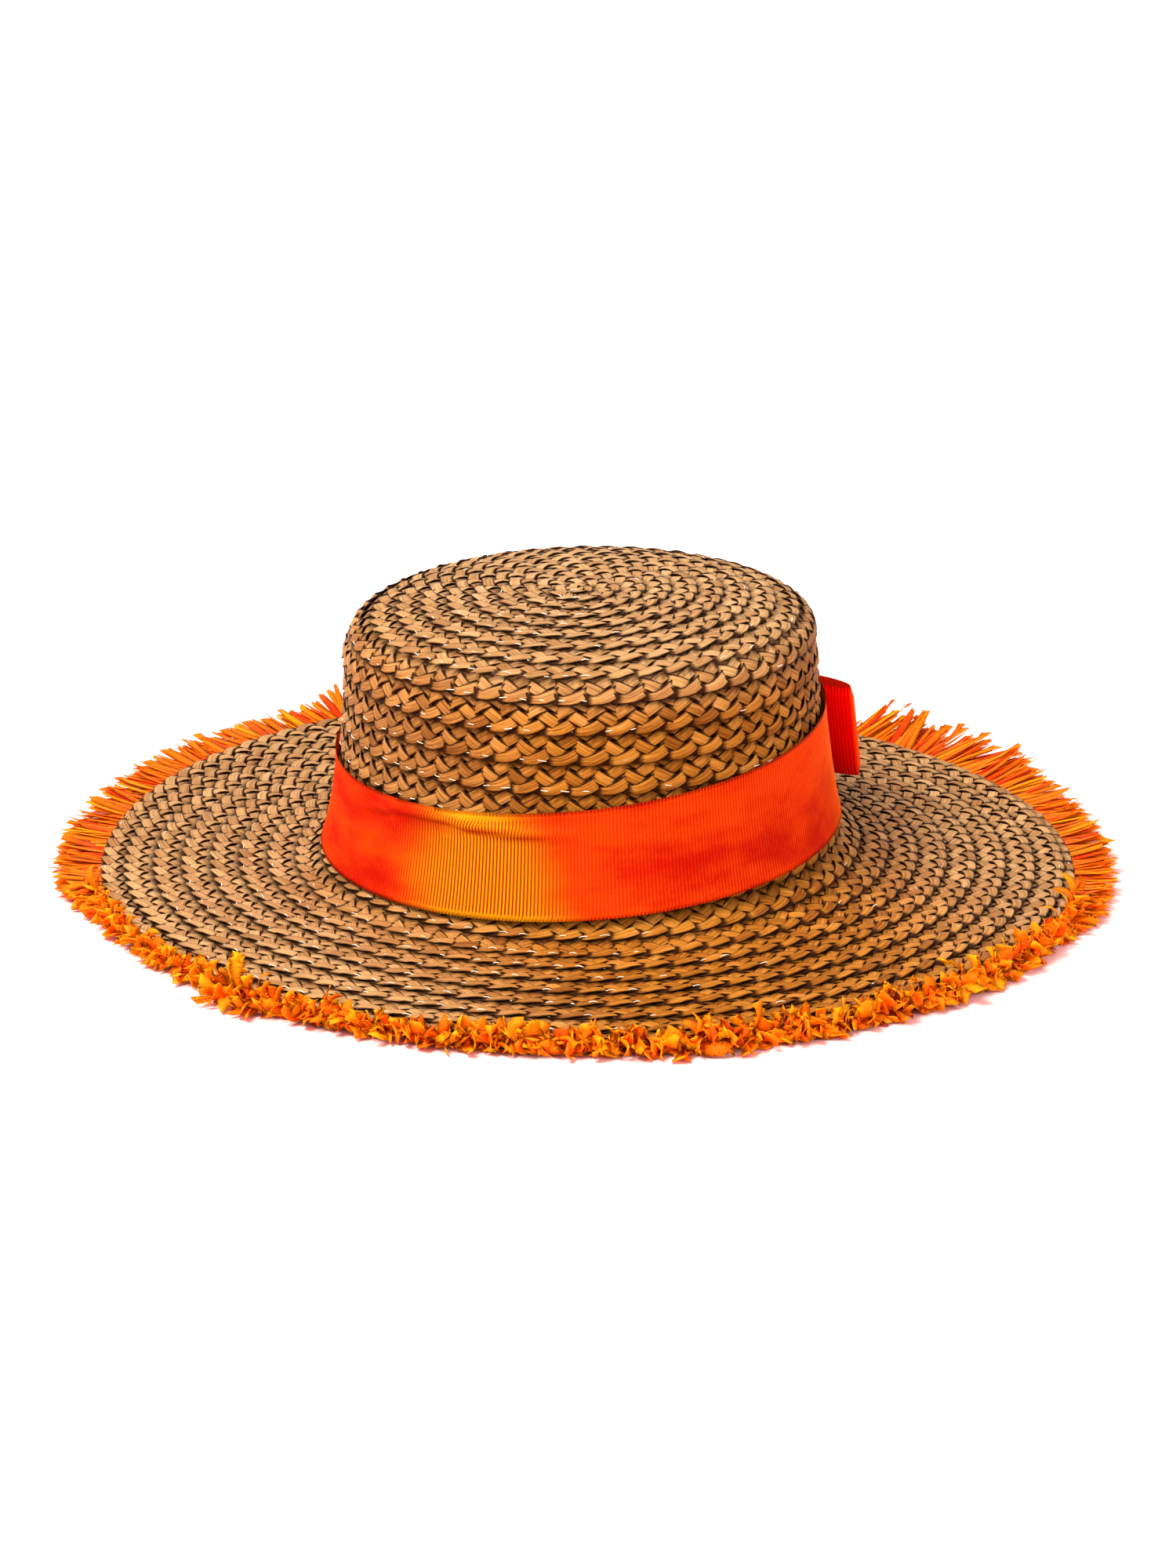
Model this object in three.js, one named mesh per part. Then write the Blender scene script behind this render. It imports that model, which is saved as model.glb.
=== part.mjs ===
// Boater hat of sewn straw plait, with a ribbon band, a flat side bow and a fringed brim.
// Millimetres, +Z up. The hat stands on its brim: the front faces -Y and the wearer's left is +X.
// Every level of the hat is an oval: "out" is its half width from side to side, "up" is its height,
// and "turn" goes round from +X towards +Y.
import * as THREE from "three";

// Plait and walls
const WALL = 2.2;
const TIP_ROW_PITCH = 9.1;
const SIDE_ROW_PITCH = 10.2;
const BRIM_ROW_PITCH = 9.8;
const ROW_STEP = 1.2;
const STEP_DEPTH = 0.6;
const CLEARANCE = 0.3;

// Ovals: how much longer each half is from front to back than from side to side
const CROWN_LENGTHENING = 12;
const EDGE_LENGTHENING = 17;

// Crown
const FOOT_HALF_WIDTH = 91;
const TIP_HALF_WIDTH = 78.6;
const SIDE_RISE = 80;
const TIP_DOME_RISE = 9.7;
const CROWN_LEAN = THREE.MathUtils.degToRad(2.6);
const INNER_TIP_HALF_WIDTH = 22;

// Brim
const BRIM_WIDTH = 80.5;
const FOOT_CURVE_RISE = 4.6;
const FOOT_CURVE_SPREAD = 7.5;
const BRIM_DROP = 2.4;
const BACK_LIFT = 3.5;
const BACK_LIFT_START = 0.4;
const LEAN_END_SHARE = 0.85;

// Fringe
const FRINGE_THICKNESS = 1.5;
const FRINGE_HEAD_WIDTH = 8;
const FRINGE_LENGTH = 14.5;
const FRINGE_LOCKS = 90;
const FRINGE_UNEVENNESS = 0.14;
const FRINGE_UNEVEN_STRIDE = 2.4;
const FRINGE_NOTCH_REACH = 0.25;
const FRINGE_SIDE_RISE = 2.5;
const FRINGE_CURL_RISE = 12;
const FRINGE_CURL_SHORTENING = 0.45;
const FRINGE_CURL_TURN = THREE.MathUtils.degToRad(252);

// Band
const BAND_WIDTH = 38;
const BAND_THICKNESS = 1;
const BAND_FOOT_HEIGHT = 16.8;
const BAND_BOTTOM_TILT = THREE.MathUtils.degToRad(1.8);
const BAND_TOP_TILT = THREE.MathUtils.degToRad(4.1);
const BAND_HIGH_TURN = THREE.MathUtils.degToRad(-5);
const CREASE_DEPTH = 1.6;

// Bow
const BOW_TURN = THREE.MathUtils.degToRad(21);
const BOW_RIBBON_WIDTH = 35;
const BOW_DROP = 6;
const BOW_RIBBON_THICKNESS = 1;
const LOOP_LENGTH = 49;
const LOOP_DEPTH = 9.5;
const KNOT_WIDTH = 20;

// Facets
const STEPS_ROUND = 60;
const INNER_SIDE_STEPS = 5;
const INNER_TIP_STEPS = 6;
const INNER_BRIM_STEPS = 4;
const LOOP_SAMPLES = 4;

// The tip's side view from its middle to the shoulder:
// out is a share of the tip's half width, up a share of the dome's rise.
const TIP_OUTLINE = [
  { out: 0.0, up: 1.0 },
  { out: 0.28, up: 0.985 },
  { out: 0.5, up: 0.92 },
  { out: 0.7, up: 0.74 },
  { out: 0.84, up: 0.5 },
  { out: 0.94, up: 0.24 },
  { out: 1.0, up: 0.0 },
];

// The crown's side from the shoulder to the foot:
// out is a share of the way from the tip's half width to the foot's, up a share of the side's rise.
const SIDE_OUTLINE = [
  { out: 0.0, up: 1.0 },
  { out: 0.11, up: 0.95 },
  { out: 0.17, up: 0.86 },
  { out: 0.22, up: 0.72 },
  { out: 0.34, up: 0.52 },
  { out: 0.51, up: 0.28 },
  { out: 0.73, up: 0.08 },
  { out: 1.0, up: 0.0 },
];

// The crease across the band's front: turn in degrees, and its height as a share of the band's width.
const CREASE = [
  { turn: 200, height: 0.95, depth: 0.0 },
  { turn: 214, height: 0.9, depth: 0.7 },
  { turn: 228, height: 0.8, depth: 1.0 },
  { turn: 240, height: 0.72, depth: 0.8 },
  { turn: 252, height: 0.68, depth: 0.0 },
];
const CREASE_REACH = 0.14;

// Where the band's rings of facets lie, as shares of its width, closest together at the crease.
const BAND_HEIGHTS = [0, 0.3, 0.6, 0.78, 1];

// One loop of the bow seen from above, from its inner end round the fold to its outer end:
// along is a share of the loop's length, out a share of its depth.
const LOOP_OUTLINE = [
  { along: 0.42, out: 0.04 },
  { along: 0.7, out: 0.16 },
  { along: 0.9, out: 0.34 },
  { along: 1.0, out: 0.62 },
  { along: 0.93, out: 0.92 },
  { along: 0.72, out: 1.0 },
  { along: 0.48, out: 0.8 },
];

const EDGE_HALF_WIDTH = FOOT_HALF_WIDTH + BRIM_WIDTH;
const EDGE_HEIGHT = FRINGE_THICKNESS + CLEARANCE + WALL;
const FOOT_HEIGHT = EDGE_HEIGHT + BRIM_DROP + FOOT_CURVE_RISE;
const SHOULDER_HEIGHT = FOOT_HEIGHT + SIDE_RISE;
const UP = new THREE.Vector3(0, 0, 1);

// The base lines of the crown's outside, before the rows' lips are added.
function tipCurve() {
  const points = TIP_OUTLINE.map(
    (row) => new THREE.Vector2(row.out * TIP_HALF_WIDTH, SHOULDER_HEIGHT + row.up * TIP_DOME_RISE),
  );
  return new THREE.SplineCurve(points);
}

function sideCurve() {
  const points = SIDE_OUTLINE.map((row) => {
    const out = THREE.MathUtils.lerp(TIP_HALF_WIDTH, FOOT_HALF_WIDTH, row.out);
    return new THREE.Vector2(out, FOOT_HEIGHT + row.up * SIDE_RISE);
  });
  return new THREE.SplineCurve(points);
}

// How high the brim's top stands at a half width: a steep foot that runs out into an almost flat brim.
function brimHeight(out) {
  const fromFoot = out - FOOT_HALF_WIDTH;
  const curve = FOOT_CURVE_RISE * Math.exp(-fromFoot / FOOT_CURVE_SPREAD);
  return EDGE_HEIGHT + curve + BRIM_DROP * (1 - fromFoot / BRIM_WIDTH);
}

class BrimCurve extends THREE.Curve {
  getPoint(t, target = new THREE.Vector2()) {
    const out = FOOT_HALF_WIDTH + CLEARANCE + t * (BRIM_WIDTH - CLEARANCE);
    return target.set(out, brimHeight(out));
  }
}

function brimShare(out) {
  return THREE.MathUtils.clamp((out - FOOT_HALF_WIDTH) / BRIM_WIDTH, 0, 1);
}

// The front and the sides of the brim rest, and its back lifts a little.
function lift(out, turn) {
  const backwards = THREE.MathUtils.smoothstep(Math.sin(turn), BACK_LIFT_START, 1);
  return BACK_LIFT * backwards * brimShare(out) ** 2;
}

// The crown leans, higher on the wearer's left, and the lean runs out across the brim.
function lean(out, turn) {
  const fading = 1 - Math.min(1, brimShare(out) / LEAN_END_SHARE);
  return out * Math.cos(turn) * Math.tan(CROWN_LEAN) * fading ** 3;
}

function lengthening(out) {
  if (out <= FOOT_HALF_WIDTH) return CROWN_LENGTHENING * Math.min(1, out / TIP_HALF_WIDTH);
  return THREE.MathUtils.lerp(CROWN_LENGTHENING, EDGE_LENGTHENING, brimShare(out));
}

function onOval(out, up, turn) {
  const x = out * Math.cos(turn);
  const y = (out + lengthening(out)) * Math.sin(turn);
  return new THREE.Vector3(x, y, up + lift(out, turn) + lean(out, turn));
}

// Past the foot's half width the band still follows the crown's own oval and lean.
function onCrown(out, up, turn) {
  const x = out * Math.cos(turn);
  return new THREE.Vector3(x, (out + CROWN_LENGTHENING) * Math.sin(turn), up + x * Math.tan(CROWN_LEAN));
}

function turns(steps) {
  return Array.from({ length: steps }, (_, step) => (step * 2 * Math.PI) / steps);
}

// One closed body from rings of points. Neighbouring rings are joined by facets,
// and a ring of one point closes an end. Without such ends the last ring joins the first.
function loft(rings) {
  const starts = [];
  const points = [];
  for (const ring of rings) {
    starts.push(points.length);
    points.push(...ring);
  }
  const facets = [];
  const hasPoles = rings[0].length === 1;
  const pairs = hasPoles ? rings.length - 1 : rings.length;
  for (let index = 0; index < pairs; index += 1) {
    const next = (index + 1) % rings.length;
    const steps = Math.max(rings[index].length, rings[next].length);
    for (let step = 0; step < steps; step += 1) {
      const after = (step + 1) % steps;
      const here = [step, after].map((at) => starts[index] + (rings[index].length === 1 ? 0 : at));
      const there = [step, after].map((at) => starts[next] + (rings[next].length === 1 ? 0 : at));
      if (there[0] !== there[1]) facets.push(here[0], there[0], there[1]);
      if (here[0] !== here[1]) facets.push(here[0], there[1], here[1]);
    }
  }
  const geometry = new THREE.BufferGeometry().setFromPoints(points);
  geometry.setIndex(facets);
  geometry.computeVertexNormals();
  return geometry;
}

// A point off a side-view curve, measured square to it, outwards being above zero.
function besideCurve(curve, share, offset) {
  const point = curve.getPointAt(share);
  const tangent = curve.getTangentAt(share);
  return new THREE.Vector2(point.x - tangent.y * offset, point.y + tangent.x * offset);
}

// The side view of sewn rows: each row rises from under the last one to a lip that laps over the next.
function rowOutline(curve, pitch, firstStart) {
  const length = curve.getLength();
  const rows = Math.round(length / pitch);
  const outline = [];
  for (let row = 0; row < rows; row += 1) {
    const start = row === 0 ? firstStart / length : row / rows + STEP_DEPTH / length;
    outline.push(besideCurve(curve, start, 0));
    outline.push(besideCurve(curve, (row + 1) / rows, ROW_STEP));
  }
  return outline;
}

// The wall's inside, from the curve's end back towards its start.
function insideOutline(curve, steps) {
  const shares = Array.from({ length: steps }, (_, step) => 1 - step / steps);
  return shares.map((share) => besideCurve(curve, share, -WALL));
}

function ovalRings(outline) {
  const round = turns(STEPS_ROUND);
  return outline.map((point) =>
    point.x < STEP_DEPTH
      ? [new THREE.Vector3(0, 0, point.y)]
      : round.map((turn) => onOval(point.x, point.y, turn)),
  );
}

// The tip lies on the side's top edge like a lid, with a flat middle inside.
function crownTipGeometry() {
  const curve = tipCurve();
  const inside = curve.getPointAt(0).y - WALL;
  const underTip = insideOutline(curve, INNER_TIP_STEPS).filter((point) => point.x > INNER_TIP_HALF_WIDTH);
  const outline = [
    ...rowOutline(curve, TIP_ROW_PITCH, 0),
    ...underTip,
    new THREE.Vector2(INNER_TIP_HALF_WIDTH, inside),
    new THREE.Vector2(0, inside),
  ];
  return loft(ovalRings(outline));
}

// The side's top edge is cut at a slant, along the edge of the tip that lies on it.
function crownSideGeometry() {
  const curve = sideCurve();
  const outline = [
    ...rowOutline(curve, SIDE_ROW_PITCH, STEP_DEPTH),
    ...insideOutline(curve, INNER_SIDE_STEPS),
    besideCurve(curve, (STEP_DEPTH + WALL) / curve.getLength(), -WALL),
  ];
  return loft(ovalRings(outline));
}

function brimGeometry() {
  const curve = new BrimCurve();
  const underside = insideOutline(curve, INNER_BRIM_STEPS);
  const outline = [
    ...rowOutline(curve, BRIM_ROW_PITCH, 0),
    ...underside,
    besideCurve(curve, 1 / (2 * INNER_BRIM_STEPS), -WALL),
    besideCurve(curve, 0, -WALL),
  ];
  return loft(ovalRings(outline));
}

// The fringe: a flat head sewn under the brim's last row, with locks that run out past the edge.
// Between two locks a notch reaches back to the edge.
function fringeGeometry() {
  const round = turns(2 * FRINGE_LOCKS);
  const headTop = (out) => brimHeight(out) - WALL - CLEARANCE;
  const headBottom = headTop(EDGE_HALF_WIDTH) - FRINGE_THICKNESS;
  const headInner = EDGE_HALF_WIDTH - FRINGE_HEAD_WIDTH;
  const shape = round.map((turn, index) => {
    const curl = Math.max(0, Math.cos(turn - FRINGE_CURL_TURN)) ** 2;
    const uneven = 1 - FRINGE_UNEVENNESS * (1 + Math.sin(FRINGE_UNEVEN_STRIDE * index));
    const reach = index % 2 === 0 ? uneven : FRINGE_NOTCH_REACH;
    const length = FRINGE_LENGTH * reach * (1 - FRINGE_CURL_SHORTENING * curl);
    const rise = reach * THREE.MathUtils.lerp(FRINGE_SIDE_RISE, FRINGE_CURL_RISE, curl);
    return { turn, length, rise };
  });
  const head = (out, up) => shape.map(({ turn }) => onOval(out, up, turn));
  const tips = shape.map(({ turn, length, rise }) =>
    onOval(EDGE_HALF_WIDTH + length, headBottom + rise, turn),
  );
  return loft([
    head(headInner, headBottom),
    head(headInner, headTop(headInner)),
    head(EDGE_HALF_WIDTH, headTop(EDGE_HALF_WIDTH)),
    tips,
    head(EDGE_HALF_WIDTH, headBottom),
  ]);
}

// The half width at a height of a line drawn over the lips of the crown's side, which carries the band.
function overLipsAt(up) {
  const lips = rowOutline(sideCurve(), SIDE_ROW_PITCH, STEP_DEPTH).filter((_, index) => index % 2 === 1);
  const above = lips.findIndex((lip) => lip.y <= up);
  const below = above < 0 ? lips.length - 1 : Math.max(above, 1);
  const [high, low] = [lips[below - 1], lips[below]];
  return THREE.MathUtils.mapLinear(up, low.y, high.y, low.x, high.x);
}

// The height of the band's bottom (share 0) to its top (share 1) at a turn.
function bandHeight(share, turn) {
  const fromMiddle = FOOT_HALF_WIDTH * Math.cos(turn - BAND_HIGH_TURN);
  const bottom = BAND_FOOT_HEIGHT + fromMiddle * Math.tan(BAND_BOTTOM_TILT);
  const top = BAND_FOOT_HEIGHT + BAND_WIDTH + fromMiddle * Math.tan(BAND_TOP_TILT);
  return THREE.MathUtils.lerp(bottom, top, share);
}

// How far the crease lifts the band off the crown.
function creaseAt(share, turn) {
  const degrees = THREE.MathUtils.radToDeg(turn);
  const after = CREASE.findIndex((row) => row.turn > degrees);
  if (after < 1) return 0;
  const [from, to] = [CREASE[after - 1], CREASE[after]];
  const part = (degrees - from.turn) / (to.turn - from.turn);
  const height = THREE.MathUtils.lerp(from.height, to.height, part);
  const depth = THREE.MathUtils.lerp(from.depth, to.depth, part);
  return CREASE_DEPTH * depth * Math.exp(-(((share - height) / CREASE_REACH) ** 2));
}

function bandRing(share, offset) {
  return turns(STEPS_ROUND).map((turn) => {
    const up = bandHeight(share, turn);
    const out = overLipsAt(up) + CLEARANCE + creaseAt(share, turn) + offset;
    return onCrown(out, up, turn);
  });
}

function bandGeometry() {
  const outside = BAND_HEIGHTS.map((share) => bandRing(share, BAND_THICKNESS)).reverse();
  const inside = BAND_HEIGHTS.map((share) => bandRing(share, 0));
  return loft([...outside, ...inside]);
}

// A strip of ribbon standing on its edge along a line drawn from above.
function ribbonStrip(line, thickness, width) {
  const beside = (offset) =>
    line.map((point, index) => {
      const before = line[Math.max(index - 1, 0)];
      const after = line[Math.min(index + 1, line.length - 1)];
      const along = after.clone().sub(before).normalize();
      return new THREE.Vector2(point.x - along.y * offset, point.y + along.x * offset);
    });
  const outline = [...beside(thickness / 2), ...beside(-thickness / 2).reverse()];
  return new THREE.ExtrudeGeometry(new THREE.Shape(outline), { depth: width, bevelEnabled: false });
}

// In the bow's own frame X points to the hat's front, Y away from the crown, and Z up along its side.
const INNER_LAYER = CLEARANCE + 1.5 * BOW_RIBBON_THICKNESS + CLEARANCE;
const OUTER_LAYER = INNER_LAYER + BOW_RIBBON_THICKNESS + CLEARANCE;
const LOOP_START = CLEARANCE;

function loopGeometry(direction) {
  const at = (along, out) => new THREE.Vector2(direction * along, out);
  const leaving = KNOT_WIDTH / 2 + BOW_RIBBON_THICKNESS;
  const line = new THREE.Path();
  line.moveTo(direction * LOOP_START, INNER_LAYER);
  line.lineTo(direction * leaving, INNER_LAYER);
  line.splineThru([
    ...LOOP_OUTLINE.map((row) => at(row.along * LOOP_LENGTH, INNER_LAYER + row.out * LOOP_DEPTH)),
    at(leaving, OUTER_LAYER),
  ]);
  line.lineTo(direction * LOOP_START, OUTER_LAYER);
  return ribbonStrip(line.getPoints(LOOP_SAMPLES), BOW_RIBBON_THICKNESS, BOW_RIBBON_WIDTH);
}

// The knot: a flat ring of ribbon round the inner ends of both loops.
function knotGeometry() {
  const ring = (margin) => {
    const near = INNER_LAYER - BOW_RIBBON_THICKNESS / 2 - CLEARANCE - margin;
    const far = OUTER_LAYER + BOW_RIBBON_THICKNESS / 2 + CLEARANCE + margin;
    const low = -CLEARANCE - margin;
    const high = BOW_RIBBON_WIDTH + CLEARANCE + margin;
    return [
      new THREE.Vector2(near, low),
      new THREE.Vector2(far, low),
      new THREE.Vector2(far, high),
      new THREE.Vector2(near, high),
    ];
  };
  const shape = new THREE.Shape(ring(BOW_RIBBON_THICKNESS));
  shape.holes.push(new THREE.Path(ring(0)));
  const geometry = new THREE.ExtrudeGeometry(shape, { depth: KNOT_WIDTH, bevelEnabled: false });
  geometry.translate(0, 0, -KNOT_WIDTH / 2);
  const alongCrown = new THREE.Vector3(1, 0, 0);
  const offCrown = new THREE.Vector3(0, 1, 0);
  return geometry.applyMatrix4(new THREE.Matrix4().makeBasis(offCrown, UP, alongCrown));
}

function straw() {
  return new THREE.MeshStandardMaterial({ color: 0xb0763f, roughness: 0.75, metalness: 0 });
}

function grosgrain() {
  return new THREE.MeshStandardMaterial({ color: 0xf04a08, roughness: 0.55, metalness: 0 });
}

function raffia() {
  return new THREE.MeshStandardMaterial({ color: 0xff8412, roughness: 0.6, metalness: 0 });
}

function named(name, geometry, material) {
  const mesh = new THREE.Mesh(geometry, material);
  mesh.name = name;
  return mesh;
}

// The bow lies on the band, square to the crown's oval and leaning with the crown's side,
// and hangs a little lower than the band's middle.
function bow() {
  const bottom = bandHeight(0, BOW_TURN);
  const top = bandHeight(1, BOW_TURN);
  const offLips = CLEARANCE + BAND_THICKNESS;
  const low = onCrown(overLipsAt(bottom) + offLips, bottom, BOW_TURN);
  const high = onCrown(overLipsAt(top) + offLips, top, BOW_TURN);
  const across = low.x / Math.cos(BOW_TURN);
  const lengthwise = low.y / Math.sin(BOW_TURN);
  const facing = Math.atan2(low.y / lengthwise ** 2, low.x / across ** 2);
  const inwards = Math.hypot(low.x - high.x, low.y - high.y);

  const leaning = new THREE.Group();
  leaning.rotation.x = Math.atan2(inwards, high.z - low.z);
  leaning.add(named("bow_front_loop", loopGeometry(1), grosgrain()));
  leaning.add(named("bow_back_loop", loopGeometry(-1), grosgrain()));
  leaning.add(named("bow_knot", knotGeometry(), grosgrain()));

  const standing = new THREE.Group();
  const bowFoot = (BAND_WIDTH - BOW_RIBBON_WIDTH) / 2 - BOW_DROP;
  standing.position.copy(low.lerp(high, bowFoot / BAND_WIDTH));
  standing.rotation.z = facing - Math.PI / 2;
  standing.add(leaning);
  return standing;
}

const hat = new THREE.Group();
hat.add(named("crown_tip", crownTipGeometry(), straw()));
hat.add(named("crown_side", crownSideGeometry(), straw()));
hat.add(named("brim", brimGeometry(), straw()));
hat.add(named("fringe", fringeGeometry(), raffia()));
hat.add(named("ribbon_band", bandGeometry(), grosgrain()));
hat.add(bow());

// The origin is under the middle of the hat, on the surface that it stands on.
const box = new THREE.Box3().setFromObject(hat);
const middle = box.getCenter(new THREE.Vector3());
hat.position.set(-middle.x, -middle.y, -box.min.z);

export default hat;
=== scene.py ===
"""A boater hat of sewn straw plait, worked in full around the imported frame.

The plait is one spiral of five flat strands, sewn row over row from the middle of the tip
to the brim's edge. Over it come the ribbed ribbon band, the side bow and the raffia fringe.
Sizes are in metres, the front of the hat faces -Y and the wearer's left is +X.
"""
import bisect
import math

import bpy
from mathutils import Matrix, Vector


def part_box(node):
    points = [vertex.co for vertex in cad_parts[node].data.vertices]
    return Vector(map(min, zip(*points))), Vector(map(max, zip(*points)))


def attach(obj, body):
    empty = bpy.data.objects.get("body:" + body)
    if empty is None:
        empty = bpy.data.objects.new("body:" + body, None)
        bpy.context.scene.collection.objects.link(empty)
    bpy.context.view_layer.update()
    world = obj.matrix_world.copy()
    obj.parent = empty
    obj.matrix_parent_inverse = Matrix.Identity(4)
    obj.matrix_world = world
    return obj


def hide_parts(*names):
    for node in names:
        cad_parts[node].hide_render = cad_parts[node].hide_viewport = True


MM = 0.001

# A small turn for finding the direction round the hat
TURN_STEP = 0.01

# How far the hat's middle lies from the frame's origin, as main reads it from the frame
HAT_SHIFT = Vector((0.0, 0.0, 0.0))

# The hat's block, as in the frame
WALL = 2.2 * MM
CLEARANCE = 0.3 * MM
CROWN_LENGTHENING = 12 * MM
EDGE_LENGTHENING = 17 * MM
FOOT_HALF_WIDTH = 91 * MM
TIP_HALF_WIDTH = 78.6 * MM
SIDE_RISE = 80 * MM
TIP_DOME_RISE = 9.7 * MM
CROWN_LEAN = math.radians(2.6)
BRIM_WIDTH = 80.5 * MM
FOOT_CURVE_RISE = 4.6 * MM
FOOT_CURVE_SPREAD = 7.5 * MM
BRIM_DROP = 2.4 * MM
BACK_LIFT = 3.5 * MM
BACK_LIFT_START = 0.4
LEAN_END_SHARE = 0.85
FRINGE_THICKNESS = 1.5 * MM
EDGE_HEIGHT = FRINGE_THICKNESS + CLEARANCE + WALL
FOOT_HEIGHT = EDGE_HEIGHT + BRIM_DROP + FOOT_CURVE_RISE
SHOULDER_HEIGHT = FOOT_HEIGHT + SIDE_RISE

# Side views of the tip and of the crown's side: half width and height as shares
TIP_OUTLINE = ((0.0, 1.0), (0.28, 0.985), (0.5, 0.92), (0.7, 0.74), (0.84, 0.5), (0.94, 0.24), (1.0, 0.0))
SIDE_OUTLINE = (
    (0.0, 1.0), (0.11, 0.95), (0.17, 0.86), (0.22, 0.72),
    (0.34, 0.52), (0.51, 0.28), (0.73, 0.08), (1.0, 0.0),
)
PROFILE_STEPS = 160

# The spiral of plait
TIP_ROWS = 9
SIDE_ROWS = 8
BRIM_ROWS = 8
INNER_BRIM_ROWS = 5
CROWN_ROWS = TIP_ROWS + SIDE_ROWS
ALL_ROWS = CROWN_ROWS + BRIM_ROWS
SEAM_TURN = math.radians(90)
START_TURNS = 0.3
FIRST_ROW_COVER = 0.6
ROW_STEP = 0.001
STATION_GAP = 2.1 * MM
PLAIT_WIDTH = 14.5 * MM
PLAIT = {
    "Strands": 5,
    "Repeat": 50 * MM,
    "Plait Width": PLAIT_WIDTH,
    "Strand Width": 4.4 * MM,
    "Strand Thickness": 0.5 * MM,
    "Weave Height": 0.5 * MM,
    "Lip Height": 0.85 * MM,
    "Lip Slope": 0.12,
    "Lip Rounding": 1.35,
    "Lip Narrowing": 0.7,
    "Lip Thickening": 1.15,
    "Uneven": 1.0,
}
LAST_ROW_SINK = 1.1 * MM

# Stitches
STITCH = {
    "Gap": 7 * MM,
    "Stitch Length": 3.2 * MM,
    "Thread": 0.18 * MM,
    "Arch": 0.35 * MM,
    "Inset": 2.1 * MM,
    "Above": 1.15 * MM,
    "Most At Turn": math.radians(216),
    "Fewest": 0.1,
    "Plait Width": PLAIT_WIDTH,
}

# Band
BAND_WIDTH = 38 * MM
BAND_FOOT_HEIGHT = 16.8 * MM
BAND_BOTTOM_TILT = math.radians(1.8)
BAND_TOP_TILT = math.radians(4.1)
BAND_HIGH_TURN = math.radians(-5)
RIB_PITCH = 1.35 * MM
RIBBON_STEP = 0.3 * MM
CREASE = (
    (184, 0.78, 0.0), (190, 0.82, 0.5), (200, 0.9, 0.8), (208, 0.91, 1.0),
    (217, 0.86, 1.0), (228, 0.82, 1.0), (238, 0.78, 0.6), (246, 0.76, 0.0),
)
LIP_STEP = 1.2 * MM
BAND_WALL = 1 * MM
BAND_OFF_LIPS = CLEARANCE + 0.45 * MM
RIBBON = {
    "Ribbon Width": BAND_WIDTH,
    "Ribbon Thickness": 0.4 * MM,
    "Rib Pitch": RIB_PITCH,
    "Rib Depth": 0.2 * MM,
    "Selvedge": 0.9 * MM,
    "Crease Depth": 1.3 * MM,
    "Crease Reach": 0.045,
    "Crease Kink": 1.1 * MM,
    "Waver": 0.35 * MM,
    "Seed": 3.0,
}

# Bow
BOW_TURN = math.radians(21)
BOW_RIBBON_WIDTH = 35 * MM
BOW_DROP = 6 * MM
LOOP_LENGTH = 49 * MM
LOOP_DEPTH = 9.5 * MM
KNOT_WIDTH = 20 * MM
KNOT_PINCH = 0.86
LOOP_OUTLINE = (
    (0.42, 0.04), (0.7, 0.16), (0.9, 0.34), (1.0, 0.62), (0.93, 0.92), (0.72, 1.0), (0.48, 0.8),
)
BOW_RIBBON_THICKNESS = 1 * MM
# How far the painted highlight along each loop's fold reaches
FOLD_HIGHLIGHT_REACH = 0.3 * MM
INNER_LAYER = CLEARANCE + 1.5 * BOW_RIBBON_THICKNESS + CLEARANCE
OUTER_LAYER = INNER_LAYER + BOW_RIBBON_THICKNESS + CLEARANCE

# Fringe
FRINGE_LENGTH = 14.5 * MM
FRINGE_ROOT_INSET = 4 * MM
FRINGE = {
    "Strips": 2400,
    "Strip Length": FRINGE_LENGTH + FRINGE_ROOT_INSET,
    "Root Inset": FRINGE_ROOT_INSET,
    "Strip Width": 3.5 * MM,
    "Strip Thickness": 0.2 * MM,
    "Crumple": 4.0 * MM,
    "Floor": 0.25 * MM,
}

# Round the edge, by turn in degrees: how long the fringe is, how much it is raised and curled
FRINGE_REACH = (
    (0, 1.2, 0.22, 0.0), (6, 1.35, 0.3, 0.0), (14, 1.4, 0.38, 0.0), (22, 1.25, 0.3, 0.0),
    (28, 0.9, 0.15, 0.0), (40, 0.8, 0.1, 0.0), (67, 1.0, 0.1, 0.0), (110, 1.2, 0.1, 0.0),
    (140, 1.15, 0.08, 0.0), (155, 1.12, 0.0, 0.0), (165, 1.0, 0.05, 0.12), (175, 0.75, 0.15, 0.5),
    (195, 0.68, 0.15, 0.7), (215, 0.72, 0.05, 0.9), (250, 0.8, 0.0, 1.0), (290, 0.82, 0.0, 0.85),
    (308, 0.85, 0.1, 0.6), (319, 0.9, 0.08, 0.2), (328, 0.95, 0.08, 0.0), (345, 1.0, 0.12, 0.0),
    (360, 1.2, 0.22, 0.0),
)

# Tufts that stand out of the fringe: turn in degrees, reach round the edge, longer by, raised by
TUFTS = (
    (26.5, 0.8, 0.5, 0.5), (98, 1.0, 0.15, 0.6), (206, 3.5, 0.5, -0.7), (216, 0.5, 0.2, 1.5),
    (255, 0.8, 0.35, -0.9), (261.5, 0.7, 0.3, -0.9), (266.5, 0.3, 0.1, 1.2), (291, 0.7, 0.1, 1.0),
)

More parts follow.
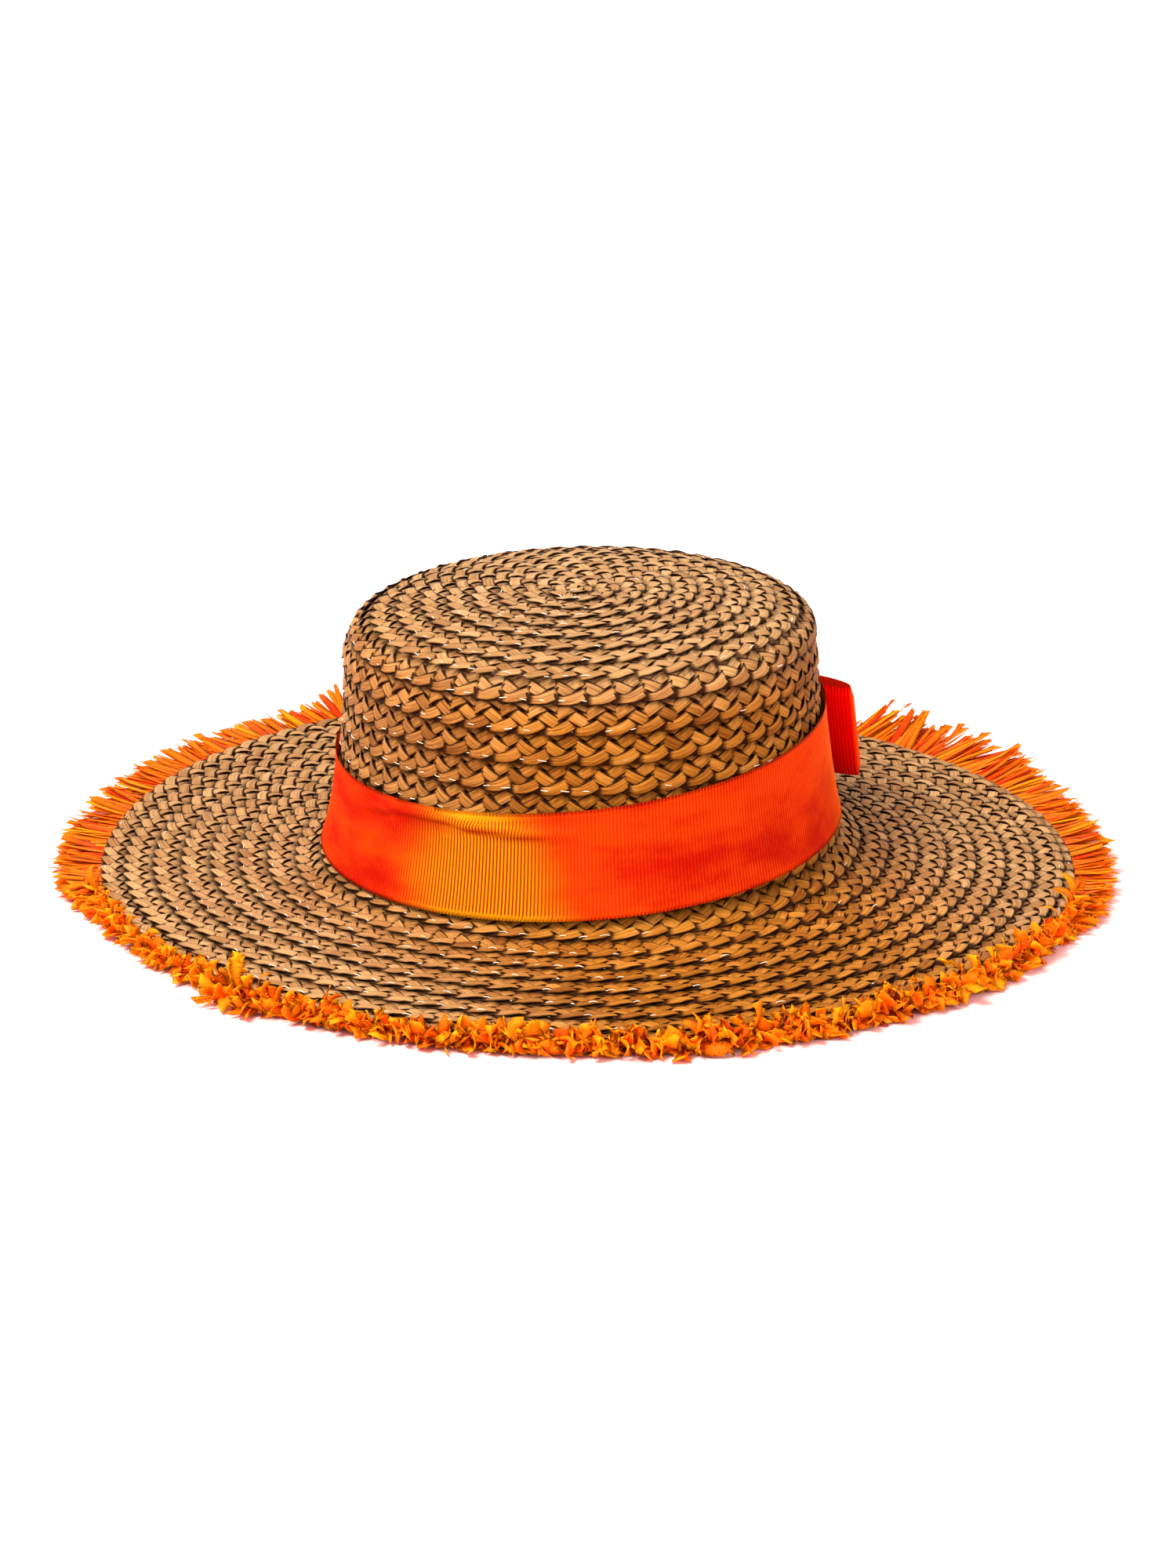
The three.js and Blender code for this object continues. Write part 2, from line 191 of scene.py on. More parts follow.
# Colours, each from deep to light
STRAW_PLAIN = ((0.14, 0.030, 0.0015), (0.50, 0.180, 0.019))
# Painted sheen: paler straw where the light from above falls on the tip and grazes the sides
STRAW_PAINTED_SHEEN = ((0.25, 0.102, 0.028), (0.52, 0.30, 0.132))
# Painted highlight: a pale glint on the brightest parts of the strands
STRAW_PAINTED_GLINT = (0.54, 0.315, 0.135)
STRAW_FIBRE = (0.10, 0.022, 0.002)
# Painted shade, near black, at the crossings, along the strand edges, under each lip and on the undersides
STRAW_PAINTED_SHADE = (0.018, 0.004, 0.0005)
THREAD = ((0.55, 0.43, 0.30), (0.85, 0.76, 0.62))
BAND_RED = ((0.52, 0.006, 0.0008), (0.84, 0.048, 0.001))
BOW_OUTSIDE = ((0.72, 0.018, 0.0008), (0.90, 0.040, 0.001))
# Painted shade: the bow's inner layer in a purer, brighter red that stands in for its shade and the light
# bounced onto it
BOW_INSIDE_PAINTED_SHADE = ((0.84, 0.0015, 0.0010), (0.97, 0.003, 0.0012))
# Painted highlight: bright orange along the bow's folds
BOW_FOLD_HIGHLIGHT = (0.97, 0.07, 0.001)
# Painted sheen: a yellow-orange patch on part of the band's front, where the key light catches the ribs
BAND_PAINTED_SHEEN = (0.71, 0.245, 0.003)
# Painted sheen: lighter orange on the band towards the bow
BAND_SHEEN_BY_BOW = (0.87, 0.13, 0.001)
BAND_TOP_EDGE = (0.12, 0.002, 0.0004)
# Painted shade just under the fold of the band's crease
BAND_CREASE_SHADE = (0.34, 0.006, 0.0005)
# Painted shade in the hollows between the ribs
RIB_GROOVE_SHADE = (0.26, 0.004, 0.0004)
# Raffia from deep red to yellow-orange; the deep red also serves as painted shade on the lower strips
RAFFIA = ((0.80, 0.020, 0.0005), (0.88, 0.118, 0.001), (0.93, 0.27, 0.003))
# Paper floor: pink near the hat as a painted glow for the red-tinted shadow and the light bounced off the
# fringe, white further away
FLOOR = ((0.94, 0.56, 0.52), (0.93, 0.93, 0.93))


def named_socket(sockets, name="Value"):
    return next(socket for socket in sockets if socket.enabled and socket.name == name)


def geometry_socket(sockets):
    return next(socket for socket in sockets if socket.type == "GEOMETRY")


class Number:
    """A number that a node tree works out at every point."""

    def __init__(self, tree, socket):
        self.tree = tree
        self.socket = socket

    def __add__(self, other):
        return self.tree.math("ADD", self, other)

    def __radd__(self, other):
        return self.tree.math("ADD", other, self)

    def __sub__(self, other):
        return self.tree.math("SUBTRACT", self, other)

    def __rsub__(self, other):
        return self.tree.math("SUBTRACT", other, self)

    def __mul__(self, other):
        return self.tree.math("MULTIPLY", self, other)

    def __rmul__(self, other):
        return self.tree.math("MULTIPLY", other, self)

    def __truediv__(self, other):
        return self.tree.math("DIVIDE", self, other)


class Arrow:
    """A point or direction that a node tree works out at every point."""

    def __init__(self, tree, socket):
        self.tree = tree
        self.socket = socket

    def __add__(self, other):
        return self.tree.arrow("ADD", self, other)

    def __sub__(self, other):
        return self.tree.arrow("SUBTRACT", self, other)

    def __mul__(self, number):
        return self.tree.arrow("SCALE", self, number)

    def cross(self, other):
        return self.tree.arrow("CROSS_PRODUCT", self, other)

    def dot(self, other):
        node = self.tree.arrow("DOT_PRODUCT", self, other).socket.node
        return Number(self.tree, node.outputs["Value"])

    def unit(self):
        return self.tree.arrow("NORMALIZE", self)

    def parts(self):
        node = self.tree.node("ShaderNodeSeparateXYZ", {0: self})
        return [Number(self.tree, socket) for socket in node.outputs]


class Tree:
    """A node tree for shapes or, with a material's tree, for a finish."""

    def __init__(self, group):
        self.group = group

    def node(self, kind, inputs=None, **settings):
        node = self.group.nodes.new(kind)
        for name, value in settings.items():
            setattr(node, name, value)
        for key, value in (inputs or {}).items():
            self.feed(node.inputs[key], value)
        return node

    def feed(self, socket, value):
        if isinstance(value, (Number, Arrow)):
            self.group.links.new(value.socket, socket)
        elif isinstance(value, bpy.types.NodeSocket):
            self.group.links.new(value, socket)
        else:
            socket.default_value = value

    def math(self, operation, *terms):
        node = self.node("ShaderNodeMath", dict(enumerate(terms)), operation=operation)
        return Number(self, node.outputs[0])

    def most(self, first, *others):
        """The largest of several numbers."""
        for other in others:
            first = self.math("MAXIMUM", first, other)
        return first

    def arrow(self, operation, *terms):
        node = self.node("ShaderNodeVectorMath", operation=operation)
        for place, term in enumerate(terms):
            self.feed(node.inputs[3 if operation == "SCALE" and place == 1 else place], term)
        return Arrow(self, node.outputs[0])

    def point(self, x, y, z):
        return Arrow(self, self.node("ShaderNodeCombineXYZ", {0: x, 1: y, 2: z}).outputs[0])

    def mix(self, share, first, second):
        """Between two numbers or two arrows."""
        if isinstance(first, Arrow) or isinstance(second, Arrow):
            return first * (1 - share) + second * share
        return first + (second - first) * share

    def ease(self, value, low, high):
        """0 below low and 1 above high, smooth in between."""
        node = self.node(
            "ShaderNodeMapRange", {"Value": value, "From Min": low, "From Max": high},
            interpolation_type="SMOOTHSTEP",
        )
        return Number(self, node.outputs[0])

    def choose(self, is_first, first, second):
        """first where is_first is 1 and second where it is 0."""
        return self.mix(is_first, second, first)

    def drift(self, place, scale, detail=2.0):
        """Smooth unevenness as an arrow, each part about -0.5 to 0.5."""
        node = self.node("ShaderNodeTexNoise", {"Vector": place, "Scale": scale, "Detail": detail})
        return Arrow(self, node.outputs["Color"]) - (0.5, 0.5, 0.5)

    def noise(self, place, scale, detail=2.0, roughness=0.5):
        """Smooth unevenness around 0, about -0.5 to 0.5."""
        inputs = {"Vector": place, "Scale": scale, "Detail": detail, "Roughness": roughness}
        return Number(self, self.node("ShaderNodeTexNoise", inputs).outputs[0]) - 0.5


class ShapeTree(Tree):
    """A tree of Geometry Nodes with named inputs for its sizes."""

    def __init__(self, name, sizes):
        super().__init__(bpy.data.node_groups.new(name, "GeometryNodeTree"))
        face = self.group.interface
        face.new_socket("Geometry", in_out="INPUT", socket_type="NodeSocketGeometry")
        face.new_socket("Geometry", in_out="OUTPUT", socket_type="NodeSocketGeometry")
        for title, value in sizes.items():
            kind = "NodeSocketInt" if isinstance(value, int) else "NodeSocketFloat"
            face.new_socket(title, in_out="INPUT", socket_type=kind)
        face.new_socket("Finish", in_out="INPUT", socket_type="NodeSocketMaterial")
        self.inlet = self.node("NodeGroupInput")
        self.geometry = self.inlet.outputs["Geometry"]

    def size(self, title):
        return Number(self, self.inlet.outputs[title])

    def pass_through(self, kind, inputs=None, **settings):
        """Sends the geometry through a node, which changes it."""
        node = self.node(kind, inputs, **settings)
        self.group.links.new(self.geometry, geometry_socket(node.inputs))
        self.geometry = geometry_socket(node.outputs)
        return node

    def recall(self, name):
        """A number stored at each point."""
        node = self.node("GeometryNodeInputNamedAttribute", {"Name": name}, data_type="FLOAT")
        return Number(self, named_socket(node.outputs, "Attribute"))

    def recall_arrow(self, name):
        """A place or direction stored at each point."""
        node = self.node("GeometryNodeInputNamedAttribute", {"Name": name}, data_type="FLOAT_VECTOR")
        return Arrow(self, named_socket(node.outputs, "Attribute"))

    def store(self, name, value, kind=None, domain="POINT"):
        kind = kind or ("FLOAT" if isinstance(value, Number) else "FLOAT_VECTOR")
        settings = {"data_type": kind, "domain": domain}
        node = self.pass_through("GeometryNodeStoreNamedAttribute", {"Name": name}, **settings)
        self.feed(named_socket(node.inputs), value)

    def store_flat(self, x, y):
        """Keeps where each corner would lie on the strip or ribbon laid flat, in millimetres."""
        self.store("UVMap", self.point(x, y, 0.0), "FLOAT2", "CORNER")

    def move_to(self, place):
        self.pass_through("GeometryNodeSetPosition", {"Position": place})

    def position(self):
        return Arrow(self, self.node("GeometryNodeInputPosition").outputs[0])

    def along(self):
        return Arrow(self, self.node("GeometryNodeInputTangent").outputs[0])

    def index(self):
        return Number(self, self.node("GeometryNodeInputIndex").outputs[0])

    def random(self, low, high, seed, identity=None):
        node = self.node("FunctionNodeRandomValue", {"Seed": seed}, data_type="FLOAT")
        self.feed(named_socket(node.inputs, "Min"), low)
        self.feed(named_socket(node.inputs, "Max"), high)
        if identity is not None:
            self.feed(node.inputs["ID"], identity)
        return Number(self, named_socket(node.outputs))

    def sweep(self, sides, radius):
        """Turns the curve into a closed tube whose ring steps are stored as ring."""
        sizes = {"Resolution": sides, "Radius": radius}
        circle = self.node("GeometryNodeCurvePrimitiveCircle", sizes, mode="RADIUS")
        ring = ShapePart(self, circle.outputs["Curve"])
        ring.store("ring", self.index())
        self.pass_through("GeometryNodeCurveToMesh", {"Profile Curve": ring.geometry, "Fill Caps": True})

    def line(self, count, step):
        """A straight curve of a few points, as a shape beside the main one."""
        settings = {"mode": "OFFSET", "count_mode": "TOTAL"}
        line = self.node("GeometryNodeMeshLine", {"Count": count, "Offset": step}, **settings)
        part = ShapePart(self, line.outputs["Mesh"])
        part.pass_through("GeometryNodeMeshToCurve")
        return part

    def finish(self):
        self.pass_through("GeometryNodeSetShadeSmooth")
        self.pass_through("GeometryNodeRealizeInstances")
        self.pass_through("GeometryNodeSetMaterial", {"Material": self.inlet.outputs["Finish"]})
        outlet = self.node("NodeGroupOutput")
        self.group.links.new(self.geometry, outlet.inputs[0])
        return self.group


class ShapePart(ShapeTree):
    """A shape made beside the main one in the same tree."""

    def __init__(self, tree, geometry):
        Tree.__init__(self, tree.group)
        self.inlet = tree.inlet
        self.geometry = geometry


def across(tree, share, names):
    """A place at a share of the way across three stored places, on the smooth line through them."""
    near, middle, far = (tree.recall_arrow(name) for name in names)
    weight_near = (1 - share) * (1 - 2 * share)
    weight_middle = 4 * share * (1 - share)
    weight_far = share * (2 * share - 1)
    return near * weight_near + middle * weight_middle + far * weight_far


def plait_tree():
    """Five flat strands that cross over and under each other along a guide, each turning at both edges."""
    tree = ShapeTree("straw plait", PLAIT)
    strands = tree.size("Strands")
    tree.pass_through("GeometryNodeMeshToCurve")
    amount = {"Amount": tree.inlet.outputs["Strands"]}
    copies = tree.pass_through("GeometryNodeDuplicateElements", amount, domain="SPLINE")
    tree.store("strand", Number(tree, copies.outputs["Duplicate Index"]))
    run = tree.recall("run")
    strand = tree.recall("strand")

    # Where each strand is on its way from the outer edge to the inner one and back
    laps = run / tree.size("Repeat") + strand / strands
    phase = tree.math("FRACT", laps)
    crossing = 1 - tree.math("ABSOLUTE", 2 * phase - 1)
    inwards = tree.math("LESS_THAN", phase, 0.5) * 2 - 1
    outer_half = tree.math("LESS_THAN", crossing, 0.5)
    columns = strands * tree.math("MINIMUM", crossing, 1 - crossing)
    at_edge = tree.math("LESS_THAN", columns, 1.0)
    rise = tree.math("SINE", columns * (math.pi / 2))
    weave = 0 - tree.math("COSINE", columns * math.pi)
    height = inwards * (outer_half * 2 - 1) * tree.choose(at_edge, rise, weave)

    # At the edge the strand turns in a round bend, narrower and thicker
    rounding = tree.size("Lip Rounding")
    turning = tree.math("LESS_THAN", columns, rounding)
    bend = columns * columns / (2 * rounding) + rounding / 2
    from_edge = tree.choose(turning, bend, columns) / strands
    share = tree.choose(outer_half, from_edge, 1 - from_edge)
    flatness = tree.ease(columns, 0.0, 1.0)

    middle = across(tree, share, ("lip_place", "middle_place", "inner_place"))
    lip_out = tree.recall_arrow("lip_outward")
    inner_out = tree.recall_arrow("inner_outward")
    outward = tree.mix(share, lip_out, inner_out).unit()
    place_in_noise = tree.point(run * 90, strand * 7.3, 0.0)
    waver = tree.noise(place_in_noise, 1.0)
    layer = tree.size("Lip Height") - tree.size("Lip Slope") * share * tree.size("Plait Width")
    lift = layer + height * tree.size("Weave Height") + waver * tree.size("Uneven") * (0.5 * MM)
    tree.store("outward", outward)
    tree.store("height", height)
    tree.store("share", share)
    tree.store("flatness", flatness)
    apart = 31.7
    tree.store("passage", tree.math("FLOOR", 2 * laps) + strand * apart)
    tree.move_to(middle + outward * lift)
    tree.store("heading", tree.along())
    tree.store("spine", tree.position())

    sides = 8
    tree.sweep(sides, 1 * MM)
    angle = tree.recall("ring") * (2 * math.pi / sides)
    round_x = tree.math("COSINE", angle)
    round_z = tree.math("SINE", angle)
    flat_x = tree.math("SIGN", round_x) * tree.math("POWER", tree.math("ABSOLUTE", round_x), 0.5)
    flat_z = tree.math("SIGN", round_z) * tree.math("POWER", tree.math("ABSOLUTE", round_z), 0.35)
    dished = flat_z - (1 - flat_x * flat_x) * 0.22

    run = tree.recall("run")
    strand = tree.recall("strand")
    flatness = tree.recall("flatness")
    heading = tree.recall_arrow("heading")
    outward = tree.recall_arrow("outward")
    sideways = heading.cross(outward).unit()
    upwards = sideways.cross(heading).unit()
    wander = tree.noise(tree.point(run * 110, strand * 11.1, 5.0), 1.0)
    twist = tree.noise(tree.point(run * 60, strand * 3.7, 9.0), 1.0)
    uneven = tree.size("Uneven")
    half_width = (
        tree.size("Strand Width") / 2
        * tree.mix(flatness, tree.size("Lip Narrowing"), 1.0)
        * (1 + wander * uneven * 0.35)
    )
    half_thickness = tree.size("Strand Thickness") / 2 * tree.mix(flatness, tree.size("Lip Thickening"), 1.0)
    sway = sideways * (flat_x * half_width)
    roll = upwards * (flat_x * half_width * twist * uneven * 0.45)
    tree.move_to(tree.recall_arrow("spine") + sway + roll + upwards * (dished * half_thickness))
    # A strand is longer than its guide, and each has its own part of the pattern
    guide_share = 0.87
    strand_apart = 40
    tree.store_flat(flat_x * half_width / MM, run / (guide_share * MM) + strand * strand_apart)
    tone = tree.noise(tree.point(run * 14, strand * 5.1, 2.0), 1.0)
    passage = tree.recall("passage")
    chance = tree.node("ShaderNodeTexWhiteNoise", {"W": passage}, noise_dimensions="1D")
    tree.store("tone", tone * 0.9 + (Number(tree, chance.outputs["Value"]) - 0.5) * 0.3 + 0.5)
    # Masks for painted shade: where a strand slips under the row before, along its edges, and on its
    # underside
    inwards = (tree.recall_arrow("inner_place") - tree.recall_arrow("lip_place")).unit()
    reached = tree.recall("share") + sway.dot(inwards) / tree.size("Plait Width")
    covered = tree.recall("cover")
    tree.store("tucked_shade", tree.ease(reached, covered - 0.07, covered - 0.01))
    tree.store("rim_shade", tree.math("ABSOLUTE", flat_x) * tree.ease(reached, -0.04, 0.06))
    tree.store("under", tree.math("LESS_THAN", round_z, -0.1))
    return tree.finish()


def stitch_tree():
    """Short arched stitches of clear thread along a guide."""
    tree = ShapeTree("clear stitches", STITCH)
    arc_points = 4
    stitch = tree.line(arc_points, (1.0, 0.0, 0.0))
    share = tree.index() / (arc_points - 1)
    x = (share - 0.5) * tree.size("Stitch Length")
    z = tree.size("Arch") * (4 * share * (1 - share)) - tree.size("Arch") * 0.45
    stitch.move_to(tree.point(x, 0.0, z))
    stitch.sweep(4, tree.size("Thread"))

    seam = tree.size("Inset") / tree.size("Plait Width")
    line_place = across(tree, seam, ("lip_place", "middle_place", "inner_place"))
    tree.move_to(line_place + tree.recall_arrow("lip_outward") * tree.size("Above"))
    tree.pass_through("GeometryNodeMeshToCurve")
    tree.pass_through("GeometryNodeResampleCurve", {"Length": tree.inlet.outputs["Gap"]}, mode="LENGTH")
    heading = tree.along()
    facing = tree.recall_arrow("lip_outward")
    slant = tree.random(-0.22, 0.22, 7)
    crosswise = facing.cross(heading)
    rotation = tree.node(
        "FunctionNodeAxesToRotation", {"Primary Axis": facing, "Secondary Axis": heading + crosswise * slant},
        primary_axis="Z", secondary_axis="X",
    )
    stretch = tree.random(0.75, 1.1, 11)
    x, y, _ = tree.position().parts()
    nearness = tree.math("COSINE", tree.math("ARCTAN2", y, x) - tree.size("Most At Turn"))
    share_seen = tree.ease(nearness, 0.6, 0.98) * 0.8 + tree.size("Fewest")
    seen = tree.math("LESS_THAN", tree.random(0.0, 1.0, 17), share_seen)
    tree.pass_through("GeometryNodeInstanceOnPoints", {
        "Instance": stitch.geometry, "Selection": seen,
        "Rotation": rotation.outputs[0], "Scale": tree.point(stretch, 1.0, 1.0),
    })
    lift = tree.random(-0.75 * MM, 0.2 * MM, 13)
    tree.pass_through("GeometryNodeTranslateInstances", {"Translation": tree.point(0.0, 0.0, lift)})
    return tree.finish()


def ribbon_tree(sizes):
    """A ribbed ribbon along a guide, with plain woven edges and a wall of its own thickness."""
    tree = ShapeTree("ribbed ribbon", sizes)
    tree.pass_through("GeometryNodeMeshToCurve")
    face_steps = 22
    back_steps = 4
    tree.sweep(face_steps + back_steps, 1 * MM)
    ring = tree.recall("ring")
    on_face = tree.math("LESS_THAN", ring, face_steps - 0.5)
    face_share = ring / (face_steps - 1)
    back_share = 1 - (ring - face_steps + 0.5) / back_steps
    share = tree.choose(on_face, face_share, back_share)
    run = tree.recall("run")
    outward = tree.recall_arrow("outward")
    crease_height = tree.recall("crease_height")
    crease = tree.recall("crease_depth")
    from_crease = (share - crease_height) / tree.size("Crease Reach")
    fold = tree.math("EXPONENT", 0 - from_crease * from_crease)
    kink = crease * tree.math("TANH", from_crease * 1.6) * tree.size("Crease Kink")
    edge = tree.size("Selvedge") / tree.size("Ribbon Width")
    to_edge = tree.math("MINIMUM", share, 1 - share)
    inside = tree.ease(to_edge, edge * 0.7, edge * 1.3)
    bead = (1 - inside) * tree.size("Rib Depth") * 1.6
    rib = tree.math("COSINE", (run + kink) * (2 * math.pi) / tree.size("Rib Pitch")) * 0.5 + 0.5
    waver = tree.noise(tree.point(run * 22, share * 1.3, tree.size("Seed")), 1.0)
    ripple = tree.noise(tree.point(run * 90, share * 4.0, tree.size("Seed") + 3), 1.0)
    relief = rib * inside * tree.size("Rib Depth") + bead
    lift = (
        on_face * tree.size("Ribbon Thickness") + (2 * on_face - 1) * relief
        + (waver * 2 + ripple * 0.5) * tree.size("Waver")
        + crease * fold * tree.size("Crease Depth")
    )
    middle = across(tree, share, ("low_place", "middle_place", "high_place"))
    tree.move_to(middle + outward * lift)
    tree.store_flat((run + kink) / MM, share * tree.size("Ribbon Width") / MM)
    # Mask for painted shade in the hollows between the ribs
    tree.store("groove_shade", inside * (1 - rib))
    # Mask for painted shade: a dark line just under the crease's fold
    below = from_crease + 0.8
    tree.store("crease", crease * tree.math("EXPONENT", 0 - below * below * 3.0))
    return tree.finish()


def fringe_tree():
    """Flat raffia strips rooted along a guide, fanned and bent, and curled up where the guide says."""
    tree = ShapeTree("raffia fringe", FRINGE)
    tree.pass_through("GeometryNodeMeshToCurve")
    tree.pass_through("GeometryNodeResampleCurve", {"Count": tree.inlet.outputs["Strips"]}, mode="COUNT")
    tree.store("round_edge", tree.along())
    tree.store("strip", tree.index())

    steps = 9
    sides = 4
    strip = tree.line(steps, (0.0, 0.0, 1.0))
    strip.store("strip_share", tree.index() / (steps - 1))
    strip.sweep(sides, 1 * MM)
    tree.pass_through("GeometryNodeInstanceOnPoints", {"Instance": strip.geometry})
    tree.pass_through("GeometryNodeRealizeInstances")

    share = tree.recall("strip_share")
    one = tree.recall("strip")
    curl = tree.recall("curl")

    def chance(low, high, seed):
        return tree.random(low, high, seed, one)

    angle = tree.recall("ring") * (2 * math.pi / sides)
    flat_x = tree.math("COSINE", angle)
    flat_z = tree.math("SINE", angle)
    up = Arrow(tree, tree.node("FunctionNodeInputVector", vector=(0.0, 0.0, 1.0)).outputs[0])
    edge_way = tree.recall_arrow("round_edge").unit()
    away = tree.recall_arrow("away").unit()

    # At the sides the strips lie flat in leaning bunches; at the front each curls up its own way
    root = tree.recall_arrow("root_place")
    bunch = tree.noise(root, 45.0, 2.0)
    fan = bunch * 2.0 + chance(-0.13, 0.13, 1) + chance(-1.1, 1.1, 2) * curl
    heading = away * tree.math("COSINE", fan) + edge_way * tree.math("SINE", fan)
    across_it = up.cross(heading).unit()
    curls = tree.math("GREATER_THAN", curl + chance(-0.3, 0.15, 3), 0.25)
    raised = tree.recall("raised") * chance(0.3, 1.0, 6)
    start = tree.choose(curls, chance(-0.45, 1.0, 4), chance(-0.1, 0.08, 5)) + raised
    bend = tree.choose(curls, chance(-2.6, 2.8, 7), chance(-0.4, 0.25, 8)) + 0.031
    slope = start + bend * share
    length = tree.size("Strip Length") * tree.recall("reach") * chance(0.84, 1.06, 9)
    length = length - curls * (tree.size("Root Inset") + chance(0.0, 5 * MM, 21))
    radius = length / bend
    out = (tree.math("SINE", slope) - tree.math("SINE", start)) * radius
    rise = (tree.math("COSINE", start) - tree.math("COSINE", slope)) * radius
    sway = length * (chance(-0.07, 0.07, 10) + curl * chance(-0.25, 0.25, 11)) * share * share
    layer = chance(-1.0, 1.0, 13)
    jitter = edge_way * chance(-0.6 * MM, 0.6 * MM, 12) + up * (layer * (0.5 * MM) + curls * 0.6 * MM)
    jitter = jitter + away * (chance(-1.2 * MM, 1.0 * MM, 14) + curls * tree.size("Root Inset") * 0.95)
    drift = tree.drift(tree.point(share * 3.4, one * 3.3, 0.0), 1.0, 1.0)
    crumple = drift * (tree.size("Crumple") * (0.12 + curl) * share)
    spine = root + jitter + heading * out + up * rise + across_it * sway + crumple

    # The flat side turns over along the strip, which ends in a slanted cut
    twist = chance(-0.12, 0.12, 15) + share * chance(-0.5, 0.5, 16) + share * curl * chance(-3.0, 3.0, 22)
    square = up * tree.math("COSINE", slope) - heading * tree.math("SINE", slope)
    wide = across_it * tree.math("COSINE", twist) + square * tree.math("SINE", twist)
    thick = square * tree.math("COSINE", twist) - across_it * tree.math("SINE", twist)
    fullness = chance(0.5, 1.2, 17) * (1.0 - 0.3 * share * share) * (1 + curl * 0.8)
    half_width = tree.size("Strip Width") / 2 * fullness
    cut = heading * (flat_x * chance(-2.2 * MM, 2.2 * MM, 18) * tree.ease(share, 0.8, 1.0))
    x, y, z = spine.parts()
    on_edge = tree.math("ABSOLUTE", tree.math("SINE", twist) * tree.math("COSINE", slope)) * half_width
    resting = tree.size("Floor") * chance(1.0, 5.0, 19) + on_edge
    spine = tree.point(x, y, tree.math("SMOOTH_MAX", z, resting, 1.5 * MM))
    surface = wide * (flat_x * half_width) + thick * (flat_z * tree.size("Strip Thickness") / 2)
    tree.move_to(spine + surface + cut)
    # Each strip's own tone at random, plus painted light: lower strips deeper red as painted shade, curled
    # strips lighter
    tree.store("strip_tone_and_shade", chance(0.0, 0.5, 20) + layer * 0.22 + curl * 0.2 + 0.1)
    tree.store_flat(flat_x * half_width / MM, share * length / MM + one * 9.0)
    return tree.finish()


def smooth_point(points, share):
    """A point on the smooth line through a few points, as share goes from 0 to 1."""
    last = len(points) - 1
    place = min(max(share, 0.0), 1.0) * last
    first = min(int(place), last - 1)
    part = place - first
    before, start, end, after = (points[min(max(first + step, 0), last)] for step in (-1, 0, 1, 2))
    result = []
    for p0, p1, p2, p3 in zip(before, start, end, after):
        leaving = (p2 - p0) / 2
        arriving = (p3 - p1) / 2
        cubic = (2 * p1 - 2 * p2 + leaving + arriving) * part**3
        square = (3 * p2 - 3 * p1 - 2 * leaving - arriving) * part**2
        result.append(cubic + square + leaving * part + p1)
    return result


def brim_height(out):
    from_foot = out - FOOT_HALF_WIDTH
    curve = FOOT_CURVE_RISE * math.exp(-from_foot / FOOT_CURVE_SPREAD)
    return EDGE_HEIGHT + curve + BRIM_DROP * (1 - from_foot / BRIM_WIDTH)


def brim_share(out):
    return min(max((out - FOOT_HALF_WIDTH) / BRIM_WIDTH, 0.0), 1.0)


def ease(value, low, high):
    share = min(max((value - low) / (high - low), 0.0), 1.0)
    return share * share * (3 - 2 * share)


def on_oval(out, up, turn):
    """A point of the hat at a half width, a height and a turn, with the crown's lean and the back's lift."""
    share = brim_share(out)
    if out > FOOT_HALF_WIDTH:
        longer = CROWN_LENGTHENING + (EDGE_LENGTHENING - CROWN_LENGTHENING) * share
    else:
        longer = CROWN_LENGTHENING * min(1.0, out / TIP_HALF_WIDTH)
    lift = BACK_LIFT * ease(math.sin(turn), BACK_LIFT_START, 1) * share**2
    fading = 1 - min(1.0, share / LEAN_END_SHARE)
    lean = out * math.cos(turn) * math.tan(CROWN_LEAN) * fading**3
    return Vector((out * math.cos(turn), (out + longer) * math.sin(turn), up + lift + lean)) + HAT_SHIFT


def on_crown(out, up, turn):
    """A point on the crown's own oval, however wide."""
    x = out * math.cos(turn)
    return Vector((x, (out + CROWN_LENGTHENING) * math.sin(turn), up + x * math.tan(CROWN_LEAN))) + HAT_SHIFT


